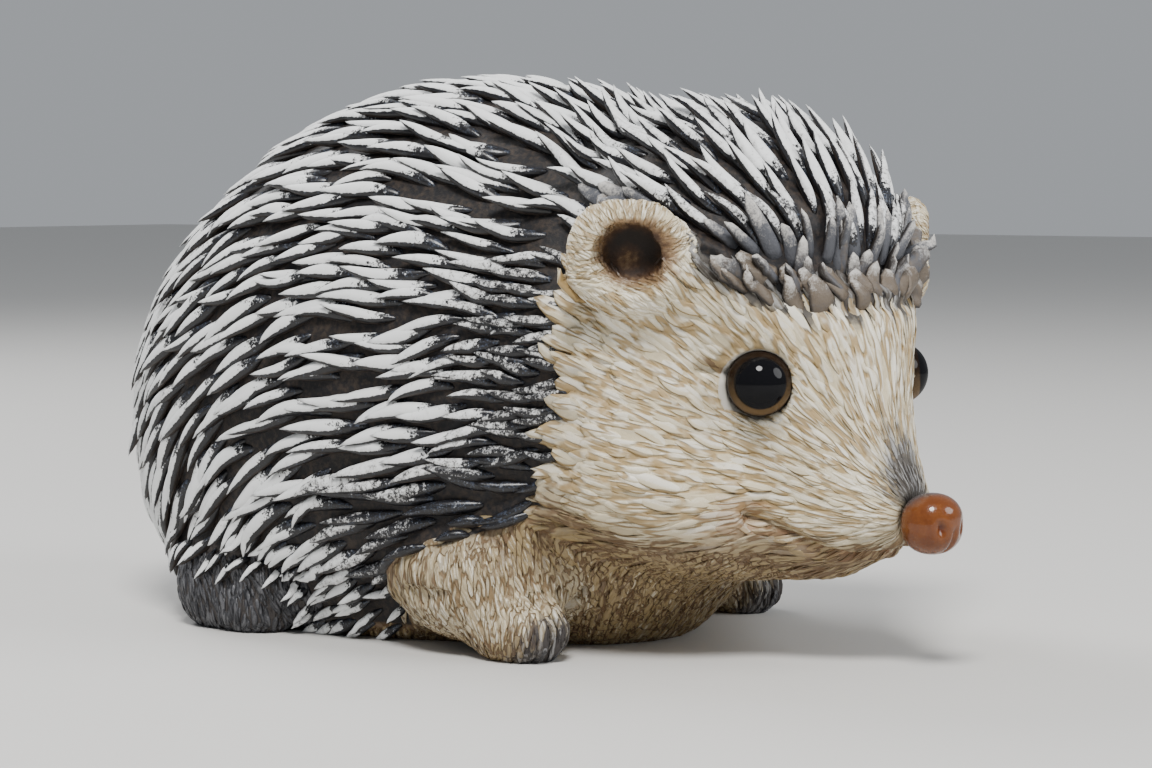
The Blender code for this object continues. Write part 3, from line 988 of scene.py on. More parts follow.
# %% Walk each quill, short of the legs
QUILL_LENGTH = 14.2 * MM
QUILL_STATIONS = 11
OVER_ARM = 4
NEVER_BLOCKED = 3
SHORTEST = 0.55
t = np.linspace(0, 1, QUILL_STATIONS)
lengths = QUILL_LENGTH * size * rng.uniform(0.8, 1.2, count)
spread, bend = rng.normal(0, 0.13, count), rng.normal(0, 0.42, count)
spine, _ = march(lie_of_quills, roots, lengths, QUILL_STATIONS, spread, bend)
blocked, in_fore = (np.stack([leg_shape(spine[:, k], nodes) > 0.3 for k in range(QUILL_STATIONS)], axis=1)
                    for nodes in (HIND_LEGS, FORELEGS))
blocked[:, OVER_ARM:] |= in_fore[:, :-OVER_ARM]
blocked[:, :NEVER_BLOCKED] = False
free = np.where(blocked.any(axis=1), blocked.argmax(axis=1) / (QUILL_STATIONS - 1), 1.0)
lengths = lengths * np.maximum(free, SHORTEST)
spine, normal = march(lie_of_quills, roots, lengths, QUILL_STATIONS, spread, bend)
print("quills cut short by a leg:", int((free < 1).sum()))

# %% Give each quill its body, its climb and the dulling of its white
QUILL_HALF_WIDTH = 1.38 * MM
QUILL_THICKNESS = 1.15 * MM
QUILL_RING = 10
shape = np.sin(pi * np.clip(t, 0.02, 0.985) ** 0.9) ** 0.75
width = QUILL_HALF_WIDTH * (0.25 + 0.75 * size) * rng.uniform(0.78, 1.16, count)
width = width * (0.6 + 0.4 * free)
thick = QUILL_THICKNESS * (0.3 + 0.7 * size) * rng.uniform(0.85, 1.15, count)
raised = rng.uniform(0, 1, count) ** 2
climb = -0.6 * MM + (2.0 * MM + (0.2 + 1.3 * raised + 3.0 * crown)[:, None] * MM * t**2) * t**0.75
climb = climb * (0.45 + 0.55 * size)[:, None] + rng.normal(0, 0.16 * MM, count)[:, None] * t
spine = spine + normal * climb[..., None]
roll = rng.normal(0, 0.18, count)
tone = rng.uniform(-1, 1, count)
# The white is less and greyer on the shoulder and the neck, and a little near the floor and on the crown.
shoulder = ease(-roots[:, 1], -18 * MM, 2 * MM) * (1 - ease(roots[:, 2], 22 * MM, 38 * MM))
shoulder = shoulder * ease(roots[:, 2] - 0.5 * roots[:, 1], 3 * MM, 12 * MM)
dirt = 0.6 * neck + 0.75 * shoulder + 0.3 * (1 - ease(roots[:, 2], 2 * MM, 12 * MM)) + 0.25 * crown
dirt = np.clip(dirt + 0.25 * waves(roots, 22 * MM, 8) - 0.05, 0, 1)
kept = free > 0.2
spine, normal, roots, roll = spine[kept], normal[kept], roots[kept], roll[kept]
width, thick, tone, dirt = width[kept], thick[kept], tone[kept], dirt[kept]
print("quills:", len(roots))

# %% Part the mantle into pieces
BAND_ENDS = [-26 * MM, 6 * MM, 32 * MM, 56 * MM]
band = np.digitize(roots[:, 1], BAND_ENDS)
for b, place in enumerate(("crown", "shoulder", "flank", "haunch", "rump")):
    for side, sign in SIDES.items():
        pick = (band == b) & (roots[:, 0] * sign > 0)
        coat_piece(f"quills_{place}_{side}", "quilled_resin", spine[pick], normal[pick],
                   width[pick, None] * shape, thick[pick, None] * shape, 0.8 * thick[pick, None] * shape,
                   QUILL_RING, roll[pick], tone=tone[pick], dirt=dirt[pick])

# %% [markdown]
# ## The fringe and the ruff
# Along the hairline stands a fringe of blunt fingers with pale tips, in three overlapping rows. Behind
# each cheek the face fur ends in thicker locks that flare back over the first quills. They are the
# same pods, made flat or blunt by their width along the way.

# %% Grow the fringe
def in_front_of_ears(p):
    _, g, z = to_head(p).T
    return ease(g, -9 * MM, -6 * MM) * (1 - ear_mask(p)) * (z > 40 * MM)


def fringe_ground(row):
    """A narrow band along the hairline, a row's height above it."""
    def band_of(p):
        s, _, z = to_head(p).T
        return bump(z - hairline_height(s) - row, 1.0 * MM) * in_front_of_ears(p)
    return band_of


FRINGE_STATIONS = 9
FRINGE_RING = 10
FRINGE_BETWEEN = 2.6 * MM
FRINGE_THROWS = 5000
PETAL = np.array([0.5, 0.95, 1.0, 0.96, 0.9, 0.84, 0.76, 0.62, 0.24])
ROW_HEIGHT = (-0.4, 1.8, 4.8)
ROW_LENGTH = (6.4, 8.0, 9.4)
ROW_HALF_WIDTH = (2.3, 1.6, 1.45)
ROW_BESIDE = (3.2, 3.6, 3.0)
ROW_FLARE = (1.0, 2.6, 3.4)
t = np.linspace(0, 1, FRINGE_STATIONS)
rows = []
for n in range(len(ROW_HEIGHT)):
    ground = fringe_ground(ROW_HEIGHT[n] * MM)
    at, _, rng = scatter(lie_of_quills, ground(face_middle) > 0.25, ROW_BESIDE[n] * MM, FRINGE_BETWEEN,
                         FRINGE_THROWS, 31 + n)
    count = len(at)
    lengths = ROW_LENGTH[n] * MM * rng.uniform(0.65, 1.3, count)
    spine, normal = march(lie_of_quills, at, lengths, FRINGE_STATIONS, rng.normal(0, 0.16, count),
                          rng.normal(0, 0.5, count))
    beside_ear = ease(np.abs(to_head(at)[:, 0]), 21 * MM, 27 * MM)
    flare = (rng.uniform(0.2, 1, count) ** 1.4 * ROW_FLARE[n] * (1 - 0.8 * beside_ear))[:, None]
    climb = (-1.3 + 2.2 * t**0.5 + flare * t**1.7) * MM
    rows.append((spine + normal * climb[..., None], normal,
                 ROW_HALF_WIDTH[n] * rng.uniform(0.6, 1.2, count) * MM,
                 rng.uniform(0.6, 0.95, count) * MM, rng.normal(0, 0.35, count), rng.uniform(-1, 1, count),
                 np.full(count, float(n))))
fringe = [np.concatenate(c) for c in zip(*rows)]
over_ear = ear_mask(fringe[0].reshape(-1, 3)).reshape(fringe[0].shape[:2])
clear = (over_ear < 0.25).all(axis=1)
spine, normal, width, thick, roll, tone, level = (c[clear] for c in fringe)
coat_piece("fringe", "quilled_resin", spine, normal, width[:, None] * PETAL, thick[:, None] * PETAL**0.5,
           thick[:, None] * PETAL**0.5, FRINGE_RING, roll, tone=tone, level=level)

# %% Grow the ruff
def ruff_ground(p):
    """A band just in front of the first quills, from the jaw to the ear."""
    _, g, z = to_head(p).T
    behind = ahead_of_ruff(p)
    band_of = ease(behind, -0.6 * MM, 0.2 * MM) * (1 - ease(behind, 6.5 * MM, 7.5 * MM))
    height = ease(z, 20 * MM, 23 * MM) * (1 - ease(z, 59 * MM, 63 * MM))
    return band_of * height * (1 - ear_mask(p)) * (g < 0)


LOCK_STATIONS = 9
LOCK_RING = 8
LOCK_THROWS = 16000
LOCK_SETTLING = 6
LOCK = np.array([0.2, 0.55, 0.8, 0.95, 1.0, 0.95, 0.82, 0.56, 0.1])
at, nor, rng = scatter(lie_of_fur, ruff_ground(face_middle), 1.4 * MM, 2.2 * MM, LOCK_THROWS, 41)
beside, between = np.full(len(at), 1.55 * MM), np.full(len(at), 2.5 * MM)
at, nor = settle(lie_of_fur, at, nor, ruff_ground, beside, between, LOCK_SETTLING)
count = len(at)
back = 1 - ease(ahead_of_ruff(at), 0, 5.5 * MM)
lengths = (6.0 + 2.0 * back) * MM * rng.uniform(0.7, 1.3, count)
spine, normal = march(lie_of_fur, at, lengths, LOCK_STATIONS, rng.normal(0, 0.12, count),
                      rng.normal(0, 0.5, count))
t = np.linspace(0, 1, LOCK_STATIONS)
flare = (0.1 + 1.6 * back * rng.uniform(0.2, 1.3, count))[:, None]
climb = (-0.45 + (0.6 + 0.5 * back)[:, None] * t**0.8 + flare * t**2) * MM
spine = spine + normal * climb[..., None]
width = (0.95 + 0.75 * back) * MM * rng.uniform(0.65, 1.45, count)
for side, sign in SIDES.items():
    pick = at[:, 0] * sign > 0
    coat_piece(f"ruff_{side}", "cream_resin", spine[pick], normal[pick], width[pick, None] * LOCK,
               0.26 * width[pick, None] * LOCK, 0.3 * width[pick, None] * LOCK, LOCK_RING,
               rng.normal(0, 0.25, pick.sum()), tone=rng.uniform(-1, 1, pick.sum()),
               grey=0.3 * back[pick], wash=np.clip(0.12 + wash_mask(at[pick]), 0, 1),
               rust=np.zeros(pick.sum()))

# %% [markdown]
# ## Carved fur
# The short fur was cut with a tool: broad low ridges with narrow grooves between, combed away from
# the nose. Each ridge is a low, wide pod sunk into the skin so that only its back shows, and side by
# side they leave the groove. They are finest at the nose and coarsest on the cheek and chest.

# %% Where the fur grows, and how big
def from_nose(p):
    return np.linalg.norm(p - NOSE, axis=1)


def fur_scale(p):
    """1 on cheek and chest, less towards the nose and eyes and on the feet."""
    scale = 0.5 + 0.5 * ease(from_nose(p), 5 * MM, 30 * MM)
    for side in SIDES:
        eye = np.linalg.norm(p - centre_of("eye_" + side), axis=1)
        scale = scale * (1 - 0.35 * bump(eye - 6 * MM, 4 * MM))
    return scale * (1 - 0.5 * ear_mask(p)) * (1 - 0.25 * leg_mask(p))


def fur_ground(p):
    """Everything but quills, eyes, lips, nose, ear cups and the underside."""
    clear = (1 - mantle_mask(p, 1.0 * MM)) * (p[:, 2] > 0.9 * MM)
    runs_in = np.max([ear_cheek(ear_measures(p, side)) for side in SIDES], axis=0)
    clear = clear * (cup_mask(p) < 0.2 + 0.3 * runs_in)
    for side in SIDES:
        clear = clear * (from_lid(p, side) > LID_RADIUS + 0.4 * MM)
        clear = clear * (distance_to_points(p, mouths[side][::2]) > 0.7 * MM)
        clear = clear * (from_corner(p, side) > 1.9 * MM)
    return clear * (from_nose(p) > 5.6 * MM)


def face_mask(p):
    """1 on brow and cheeks, where the fur is broad flat locks with fine lines cut in them."""
    _, g, z = to_head(p).T
    above = ease(z, 14 * MM, 20 * MM) * ease(g, -16 * MM, -12 * MM)
    return above * (1 - ear_mask(p)) * ease(from_nose(p), 4 * MM, 16 * MM)


def relief(p):
    """How boldly the fur is carved: faint on the snout and brow, bold towards the ruff and chest."""
    towards_ruff = 1 - ease(to_head(p)[:, 1], -12 * MM, 14 * MM)
    return 0.62 + 0.4 * towards_ruff * (1 - 0.5 * downward_mask(p))


print("share of the surface under fur: %.2f" % fur_ground(face_middle).mean())

# %% Grow the carved fur
FUR_STATIONS = 9
FUR_RING = 8
FUR_THROWS = 90000
RIDGE = np.array([0.15, 0.58, 0.86, 1.0, 0.98, 0.86, 0.66, 0.38, 0.08])
scale, broad = fur_scale(face_middle), face_mask(face_middle)
roots, root_normal, rng = scatter(lie_of_fur, fur_ground(face_middle), (0.66 + 0.32 * broad) * MM * scale,
                                  (2.2 + 1.1 * broad) * MM * scale, FUR_THROWS, 51)
count = len(roots)
scale, broad = fur_scale(roots), face_mask(roots)
lengths = (5.6 + 2.2 * broad) * MM * scale * rng.uniform(0.6, 1.4, count)
spine, normal = march(lie_of_fur, roots, lengths, FUR_STATIONS, rng.normal(0, 0.07, count),
                      rng.normal(0, 0.6, count))
t = np.linspace(0, 1, FUR_STATIONS)
hump = -0.30 + 0.30 * np.sin(pi * np.clip(t, 0, 1) ** 0.9) + 0.10 * t
climb = (hump * scale[:, None] + rng.normal(0, 0.05, count)[:, None]) * MM
spine = spine + normal * (climb * relief(roots)[:, None])[..., None]
width = (0.56 + 0.34 * broad) * MM * scale * rng.uniform(0.6, 1.4, count)
proud = 0.29 - 0.02 * broad + 0.2 * ear_mask(roots)
rise = proud * MM * scale * relief(roots) * rng.uniform(0.7, 1.3, count)
tone = rng.uniform(-1, 1, count)
grey, wash, rust = grey_mask(roots), wash_mask(roots), rust_mask(roots)
print("locks of fur:", count)

# %% Part the fur into pieces
CHEEK_TOP, CHEEK_LOW, FACE_BACK = 36 * MM, 14 * MM, -16 * MM
_, g, z = to_head(roots).T
on_face = g > FACE_BACK
region = np.select([ear_mask(roots) > 0.5, leg_mask(roots) > 0.4, on_face & (z > CHEEK_TOP),
                    on_face & (z > CHEEK_LOW)], ["ear", "leg", "brow", "cheek"], "chest")
for place in ("ear", "brow", "cheek", "chest", "leg"):
    for side, sign in SIDES.items():
        pick = (region == place) & (roots[:, 0] * sign > 0)
        coat_piece(f"{place}_fur_{side}", "grey_resin" if place == "leg" else "cream_resin",
                   spine[pick], normal[pick], width[pick, None] * RIDGE, rise[pick, None] * RIDGE,
                   0.5 * rise[pick, None] * RIDGE, FUR_RING, rng.normal(0, 0.15, pick.sum()),
                   tone=tone[pick], grey=grey[pick], wash=wash[pick], rust=rust[pick])

# %% [markdown]
# ## Eyes and nose
# Each eye is a glass ball set in a socket: a wide black pupil, a thin brown iris that catches light
# along its lower edge, and a dark rim. The nose is a rounded block of lacquered clay, with two
# comma-shaped nostrils and a crease below them. Both replace the plain balls of the frame.

# %% Eyes
GAZE_UP = radians(4)
EYE_SEGMENTS = 64


def ball(name, centre, radius, segments):
    """A smooth ball, as a piece of its own."""
    bm = bmesh.new()
    bmesh.ops.create_uvsphere(bm, u_segments=segments, v_segments=segments // 2, radius=radius)
    mesh = mesh_of(bm, name)
    co, _ = arrays_of(mesh)
    mesh.vertices.foreach_set("co", (co + centre).ravel())
    mesh.polygons.foreach_set("use_smooth", np.ones(len(mesh.polygons), bool))
    mesh.update()
    return object_from(name, mesh)


eyes = []
for side, sign in SIDES.items():
    centre = centre_of("eye_" + side)
    eye = ball("glass_eye_" + side, centre, EYE_RADIUS, EYE_SEGMENTS)
    gaze = unit(ahead * cos(GAZE_OUTWARD) + across * sign * sin(GAZE_OUTWARD) + UP * sin(GAZE_UP))
    ray = unit(arrays_of(eye.data)[0] - centre)
    off_gaze = np.degrees(np.arccos(np.clip(ray @ gaze, -1, 1))) / 90
    remember(eye.data, off_gaze=off_gaze, height=ray[:, 2])
    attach(eye, "root")
    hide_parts("eye_" + side)
    eyes.append(eye)
print("glass eyes at (mm):", [np.round(centre_of("eye_" + side) / MM, 1).tolist() for side in SIDES])

# %% Nose
NOSE_FULLNESS = 2.5
NOSE_SEGMENTS = 80
NOSE_HALF = np.array([4.75, 4.5, 4.7]) * MM
NOSTRIL_SUNK, CREASE_SUNK, BRIDGE_RAISED = 0.95 * MM, 0.4 * MM, 0.25 * MM
nose_low, nose_high = box_of("nose")
nose = ball("lacquered_nose", np.zeros(3), 1.0, NOSE_SEGMENTS)
ray, _ = arrays_of(nose.data)
blocky = np.linalg.norm(ray, ord=NOSE_FULLNESS, axis=1)
block = ray * 0.5 * (1 + 1 / blocky)[:, None]
local = block * NOSE_HALF
nostril = np.zeros(len(ray))
for sign in (-1, 1):
    place = unit(np.array([0.52 * sign, 0.85, -0.08]))
    along = (ray - place) @ unit(np.array([0.35 * sign, -0.1, 1.0]))
    reach = np.linalg.norm(ray - place, axis=1)
    beside = np.sqrt(np.maximum(reach**2 - along**2, 0)) + 0.35 * along**2
    nostril = np.maximum(nostril, bump(beside, 0.15) * bump(along, 0.24))
crease = bump(ray[:, 0], 0.07) * ease(-ray[:, 2], -0.05, 0.25) * ease(ray[:, 1], 0.2, 0.5)
local = local - ray * (NOSTRIL_SUNK * nostril + CREASE_SUNK * crease)[:, None]
local = local + ray * (BRIDGE_RAISED * bump(ray[:, 0], 0.4) * bump(ray[:, 2] - 0.5, 0.3))[:, None]
placed = NOSE + local[:, :1] * across + local[:, 1:2] * ahead + local[:, 2:] * UP
placed = np.clip(placed, nose_low, nose_high)
nose.data.vertices.foreach_set("co", placed.ravel())
remember(nose.data, nostril=np.maximum(nostril, 0.5 * crease), top=ray[:, 2] - 0.75 * ray[:, 1])
# Head measures mirror the ball, so its faces are turned to look outward again.
nose.data.flip_normals()
nose.data.update()
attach(nose, "root")
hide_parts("nose")
print("nose (mm):", np.round((placed.max(axis=0) - placed.min(axis=0)) / MM, 1))

# %% [markdown]
# ## Mixing paint
# A painted finish is layers, each with a mask: a dark base, a brown wash that stays in hollows, and
# pale paint dragged over what stands proud. The helpers below add nodes and join them, so each
# material reads as a list of layers.

# %% Paint helpers
COARSEST_LINES = 4.1
HANGING_LINES = (820.0, 820.0, 170.0)
LINE_BREAKS = 2.2 * MM


class Paint:
    """A material being mixed."""

    def __init__(self, name):
        self.material = bpy.data.materials.new(name)
        self.material.use_nodes = True
        self.tree = self.material.node_tree
        self.shader = self.tree.nodes["Principled BSDF"]
        self.place = self.add("ShaderNodeTexCoord").outputs["Object"]

    def add(self, kind, inputs=None, **settings):
        node = self.tree.nodes.new(kind)
        for key, value in settings.items():
            setattr(node, key, value)
        for key, value in (inputs or {}).items():
            self.put(node.inputs[key], value)
        return node

    def put(self, socket, value):
        """Joins an output to a socket, or sets the socket's own value."""
        if isinstance(value, bpy.types.NodeSocket):
            self.tree.links.new(value, socket)
        else:
            socket.default_value = value

    def mark(self, name, kind="Fac"):
        """A value, or a vector, that the mesh remembers."""
        return self.add("ShaderNodeAttribute", attribute_name=name).outputs[kind]

    def sum(self, *terms):
        """Adds up terms; a pair is a value times a number."""
        total = 0.0
        for term in terms:
            value, times = term if isinstance(term, tuple) else (term, 1.0)
            step = self.add("ShaderNodeMath", {0: value, 1: times, 2: total}, operation="MULTIPLY_ADD")
            total = step.outputs[0]
        return total

    def times(self, a, b):
        return self.add("ShaderNodeMath", {0: a, 1: b}, operation="MULTIPLY").outputs[0]

    def ramp(self, value, low, high, out_low=0.0, out_high=1.0):
        """Eases a value from one level to another."""
        inputs = {"Value": value, "From Min": low, "From Max": high, "To Min": out_low, "To Max": out_high}
        return self.add("ShaderNodeMapRange", inputs, interpolation_type="SMOOTHSTEP").outputs["Result"]

    def grain(self, size, detail=2.0, where=None, stretch=None, rough=0.55):
        """Noise centred on 0 with grains of about a size in metres."""
        where = where or self.place
        if stretch is not None:
            where = self.add("ShaderNodeVectorMath", {0: where, 1: stretch}, operation="MULTIPLY").outputs[0]
        inputs = {"Vector": where, "Scale": 1 / size, "Detail": detail, "Roughness": rough}
        return self.sum(self.add("ShaderNodeTexNoise", inputs).outputs["Fac"], (1.0, -0.5))

    def coat(self, mask, under, over):
        """Lays one colour over another where the mask says."""
        mix = self.add("ShaderNodeMix", data_type="RGBA")
        for key, value in (("Factor_Float", mask), ("A_Color", under), ("B_Color", over)):
            socket = next(s for s in mix.inputs if s.identifier == key)
            self.put(socket, (*value, 1.0) if isinstance(value, tuple) else value)
        return next(s for s in mix.outputs if s.identifier == "Result_Color")

    def grooves(self):
        """The carver's lines: 1 in a groove, 0 beside it; and the gentle swell between them."""
        fan = self.mark("fan", "Vector")
        shares = list(self.add("ShaderNodeSeparateXYZ", {0: self.mark("fineness", "Vector")}).outputs)
        shares.append(self.sum(1.0, *((share, -1) for share in shares)))
        swell = 0.0
        for k, share in enumerate(shares):
            lines = COARSEST_LINES * 2**k
            line = self.grain(1.0, 1.0, where=fan, stretch=(lines, lines, 1.0))
            swell = self.sum(swell, self.times(line, share))
        hanging = self.grain(1.0, 1.0, stretch=HANGING_LINES)
        downward = self.mark("downward")
        swell = self.sum(swell, (self.times(swell, downward), -1.0), self.times(hanging, downward))
        near_line = self.add("ShaderNodeMath", {0: swell}, operation="ABSOLUTE").outputs[0]
        strength = self.ramp(self.grain(LINE_BREAKS, 1.0), -0.2, 0.0, 0.45, 1.0)
        unbroken = self.ramp(self.mark("seam"), 0, 0.5, 1, 0)
        groove = self.times(self.ramp(near_line, 0.014, 0.07, 1.0, 0.0), strength)
        return self.times(groove, unbroken), self.times(swell, unbroken)

    def finish(self, colour, roughness, height, depth, uniform=()):
        """Joins the layers to the shader; uniform values go on its own sockets."""
        self.put(self.shader.inputs["Base Color"], colour)
        self.put(self.shader.inputs["Roughness"], roughness)
        inputs = {"Height": height, "Distance": depth, "Strength": 1.0}
        self.put(self.shader.inputs["Normal"], self.add("ShaderNodeBump", inputs).outputs["Normal"])
        for name, value in dict(uniform).items():
            self.shader.inputs[name].default_value = value
        print(self.material.name, "is mixed in", len(self.tree.nodes), "steps")
        return self.material


# %% Colours on the bench
WHITE = (0.78, 0.79, 0.79)
DULLED_AND_SHADED_WHITE = (0.30, 0.29, 0.28)
BLACK = (0.010, 0.0095, 0.011)
SHEEN_BLUE_GREY = (0.068, 0.085, 0.125)
DUST = (0.042, 0.031, 0.024)
CREAM = (0.63, 0.55, 0.385)
PALE_CREAM = (0.775, 0.74, 0.645)
OCHRE = (0.35, 0.235, 0.095)
DEEP_BROWN = (0.12, 0.066, 0.028)
WASHED_AND_SHADED = (0.29, 0.212, 0.103)
RUST = (0.24, 0.086, 0.030)
SLATE = (0.030, 0.030, 0.034)
PALE_GREY = (0.20, 0.20, 0.21)
LID_GREY = (0.54, 0.51, 0.45)
CUP_EDGE = (0.23, 0.135, 0.06)
CUP_BROWN = (0.078, 0.038, 0.018)
CUP_BLACK_AND_SHADE = (0.014, 0.009, 0.007)
PAW_BLACK = (0.020, 0.021, 0.027)
SKIN_GREY_AND_SHADE = (0.046, 0.042, 0.042)
PETAL_BROWN, PETAL_GREY, PETAL_SHADE = (0.125, 0.098, 0.072), (0.075, 0.078, 0.090), (0.022, 0.018, 0.016)
PETAL_TIP, PETAL_RIM = (0.50, 0.48, 0.45), (0.33, 0.31, 0.29)
IRIS_SHADE, IRIS_BROWN = (0.014, 0.008, 0.005), (0.115, 0.072, 0.034)
PUPIL, EYE_RIM = (0.004, 0.004, 0.005), (0.020, 0.014, 0.010)
TERRACOTTA, LIGHT_TERRACOTTA = (0.125, 0.034, 0.007), (0.165, 0.050, 0.010)
NOSE_TOP, NOSTRIL_RED = (0.075, 0.06, 0.058), (0.09, 0.018, 0.006)
print("cream to its wash, in brightness: %.2f to %.2f" % (sum(CREAM) / 3, sum(WASHED_AND_SHADED) / 3))

# %% [markdown]
# ## Paint of the quills
# The mantle was painted near-black and gloss-varnished, then each quill got a stroke of matt white
# along the back that faces the sky, from its tip to about two thirds of its length. The edge of the
# stroke is ragged, and near the root it breaks into specks. On the shoulder the white is duller.
# Leaning the white towards the sky also paints light from above; its lower side is painted greyer as
# painted shade, and blue-grey specks on the black are a painted sheen.

# %% Quill paint
mix = Paint("dry_brushed_quill")
lift, along, dirt, tone = (mix.mark(k) for k in ("lift", "along", "dirt", "tone"))
rag = mix.grain(1.0 * MM, 2.0)
speck = mix.grain(0.3 * MM, 2.0, rough=0.7)
back_edge = mix.sum(lift, (rag, 0.30), (speck, 0.24), (tone, 0.12), (dirt, -0.30),
                    mix.ramp(along, 0.2, 0.55, -0.3, 0.0))
root_edge = mix.sum(along, (rag, 0.5), (speck, 0.45), (tone, 0.10), (dirt, -0.12))
white = mix.times(mix.ramp(back_edge, 0.37, 0.45), mix.ramp(root_edge, 0.30, 0.37))
# Where the white is dulled it breaks up into specks.
white_kept = mix.ramp(mix.sum(speck, (rag, 0.9), (dirt, -0.9)), -0.62, -0.35)
white = mix.times(white, white_kept)
low_side = mix.ramp(mix.sum(lift, (rag, 0.6)), -0.5, 0.0)
colour = mix.coat(low_side, DUST, BLACK)
# Blue-grey specks on the black, more on its upper side, are a painted sheen of the varnish.
painted_glint = mix.times(mix.ramp(mix.sum(speck, (rag, 0.5), (lift, 0.14)), 0.16, 0.24), 0.7)
colour = mix.coat(painted_glint, colour, SHEEN_BLUE_GREY)
# The white is painted greyer on its lower side as painted shade, and greyer still where it is dulled.
bright = mix.ramp(mix.sum(rag, (speck, 0.5), (lift, 0.25), (dirt, -0.9)), -0.6, 0.15)
paint_white = mix.coat(bright, DULLED_AND_SHADED_WHITE, WHITE)
colour = mix.coat(white, colour, paint_white)
rough = mix.sum(0.30, (white, 0.32), (mix.ramp(low_side, 0, 1, 1, 0), 0.3), (speck, 0.15))
thick_paint = mix.sum((white, 0.35), (rag, 0.4), (speck, 0.15))
quill_paint = mix.finish(colour, rough, thick_paint, 0.10 * MM)

# %% [markdown]
# ## Paint of the fringe
# The petals are greyish beige, brown where they leave the brow, with whitish rounded tips.

# %% Fringe paint
mix = Paint("pale_tipped_petal")
lift, along, around, tone, level = (mix.mark(k) for k in ("lift", "along", "around", "tone", "level"))
rag = mix.grain(1.2 * MM, 3.0)
speck = mix.grain(0.3 * MM, 2.0, rough=0.7)
root = mix.coat(mix.ramp(mix.sum(rag, (level, 0.4), (tone, 0.08)), 0.0, 0.6), PETAL_BROWN, PETAL_GREY)
dark = mix.coat(mix.ramp(mix.sum(lift, (rag, 0.7)), -0.3, 0.5), PETAL_SHADE, root)
tip = mix.ramp(mix.sum(along, (rag, 0.8), (speck, 0.5), (tone, 0.14), (level, 0.05)), 0.62, 1.15)
proud = mix.ramp(mix.sum(lift, (speck, 0.8), (rag, 0.4)), 0.1, 0.7)
colour = mix.coat(mix.times(tip, proud), dark, PETAL_TIP)
rim = mix.ramp(mix.sum((mix.times(around, around), 1.0), (speck, 0.5), (lift, 0.2)), 0.8, 1.1)
colour = mix.coat(mix.times(rim, mix.ramp(along, 0.4, 0.8, 0.0, 0.4)), colour, PETAL_RIM)
fringe_paint = mix.finish(colour, mix.sum(0.45, (speck, 0.2)), mix.sum(rag, (speck, 0.5)), 0.15 * MM,
                          {"Specular IOR Level": 0.4})

# %% [markdown]
# ## Paint of the carved fur
# Cream, with an ochre wash that ran into the grooves and pale paint on the ridges. The wash is left
# dark under the jaw and on the chest, with painted shade there, brow and feet carry the grey of the
# quills, with painted shade under the fringe, and a touch of rust marks the corners of the mouth.

# %% Fur paint
def cup_colour(mix, cup, rag, swell, outside):
    """From ochre at the edge of an ear's cup to almost black inside, dark paint deepened by painted shade in
    the hollow, with paler ridges.
    """
    in_cup = mix.ramp(cup, 0.0, 0.06)
    edge = mix.times(mix.ramp(mix.sum(cup, (rag, 0.6), (swell, -0.8)), 0.04, 0.32, 0, 0.85), in_cup)
    edge = mix.coat(edge, outside, CUP_EDGE)
    brown = mix.coat(mix.ramp(mix.sum(cup, (rag, 0.6), (swell, -0.3)), 0.25, 0.65), edge, CUP_BROWN)
    # Almost black in the middle of the cup: dark paint deepened by painted shade in the hollow.
    return mix.coat(mix.ramp(mix.sum(cup, (rag, 0.3)), 0.42, 0.85), brown, CUP_BLACK_AND_SHADE)


mix = Paint("washed_fur")
lift, around, tone, grey = (mix.mark(k) for k in ("lift", "around", "tone", "grey"))
wash, rust, cup = (mix.mark(k) for k in ("wash", "rust", "cup"))
blotch = mix.grain(5.0 * MM, 2.0)
rag = mix.grain(0.9 * MM, 3.0)
speck = mix.grain(0.25 * MM, 2.0, rough=0.7)
groove, swell = mix.grooves()
flank = mix.times(around, around)
depth = mix.sum(lift, (flank, -0.45), (rag, 0.35), (swell, 0.6), (wash, -0.10))
# Cream turns darker where wash and painted shade lie: under the jaw, on the chest and in the creases.
body_cream = mix.coat(mix.ramp(mix.sum(wash, (blotch, 0.25)), 0.15, 0.95), CREAM, WASHED_AND_SHADED)
colour = mix.coat(mix.ramp(depth, -0.95, -0.2), OCHRE, body_cream)
ridge = mix.sum(depth, (speck, 0.5), (tone, 0.15), (wash, -0.35))
colour = mix.coat(mix.ramp(ridge, 0.45, 0.95, 0, 0.8), colour, PALE_CREAM)
colour = mix.coat(mix.times(groove, 0.9), colour, mix.coat(mix.ramp(wash, 0.1, 0.8), OCHRE, DEEP_BROWN))
slate = mix.coat(mix.ramp(mix.sum(depth, (rag, 0.9), (speck, 0.9), (tone, 0.15), (groove, -0.5)), 0.2, 1.3),
                 SLATE, PALE_GREY)
slate = mix.coat(mix.ramp(grey, 0.94, 1.0, 0, 0.5), slate, PAW_BLACK)
greyed = mix.times(mix.ramp(mix.sum(grey, (blotch, 0.5), (rag, 0.3)), 0.15, 0.85), mix.ramp(grey, 0, 0.1))
greyed = mix.times(greyed, mix.ramp(grey, 0.9, 1.0, 0.9, 1.0))
colour = mix.coat(greyed, colour, slate)
colour = mix.coat(mix.times(rust, 0.75), colour, RUST)
colour = cup_colour(mix, cup, rag, swell, colour)
rough = mix.sum(0.38, (speck, 0.2), (rag, 0.15), (groove, 0.25))
fur_height = mix.sum((groove, -1.0), (swell, 1.0), (rag, 0.25), (speck, 0.15))
fur_paint = mix.finish(colour, rough, fur_height, 0.22 * MM)

# %% [markdown]
# ## Paint of the skin
# Between the quills the skin is black-brown with dry dust. Between the ridges of fur it holds the
# ochre wash. The ear cups run from ochre at the edge to almost black inside, where dark paint is
# deepened by painted shade in the hollow.

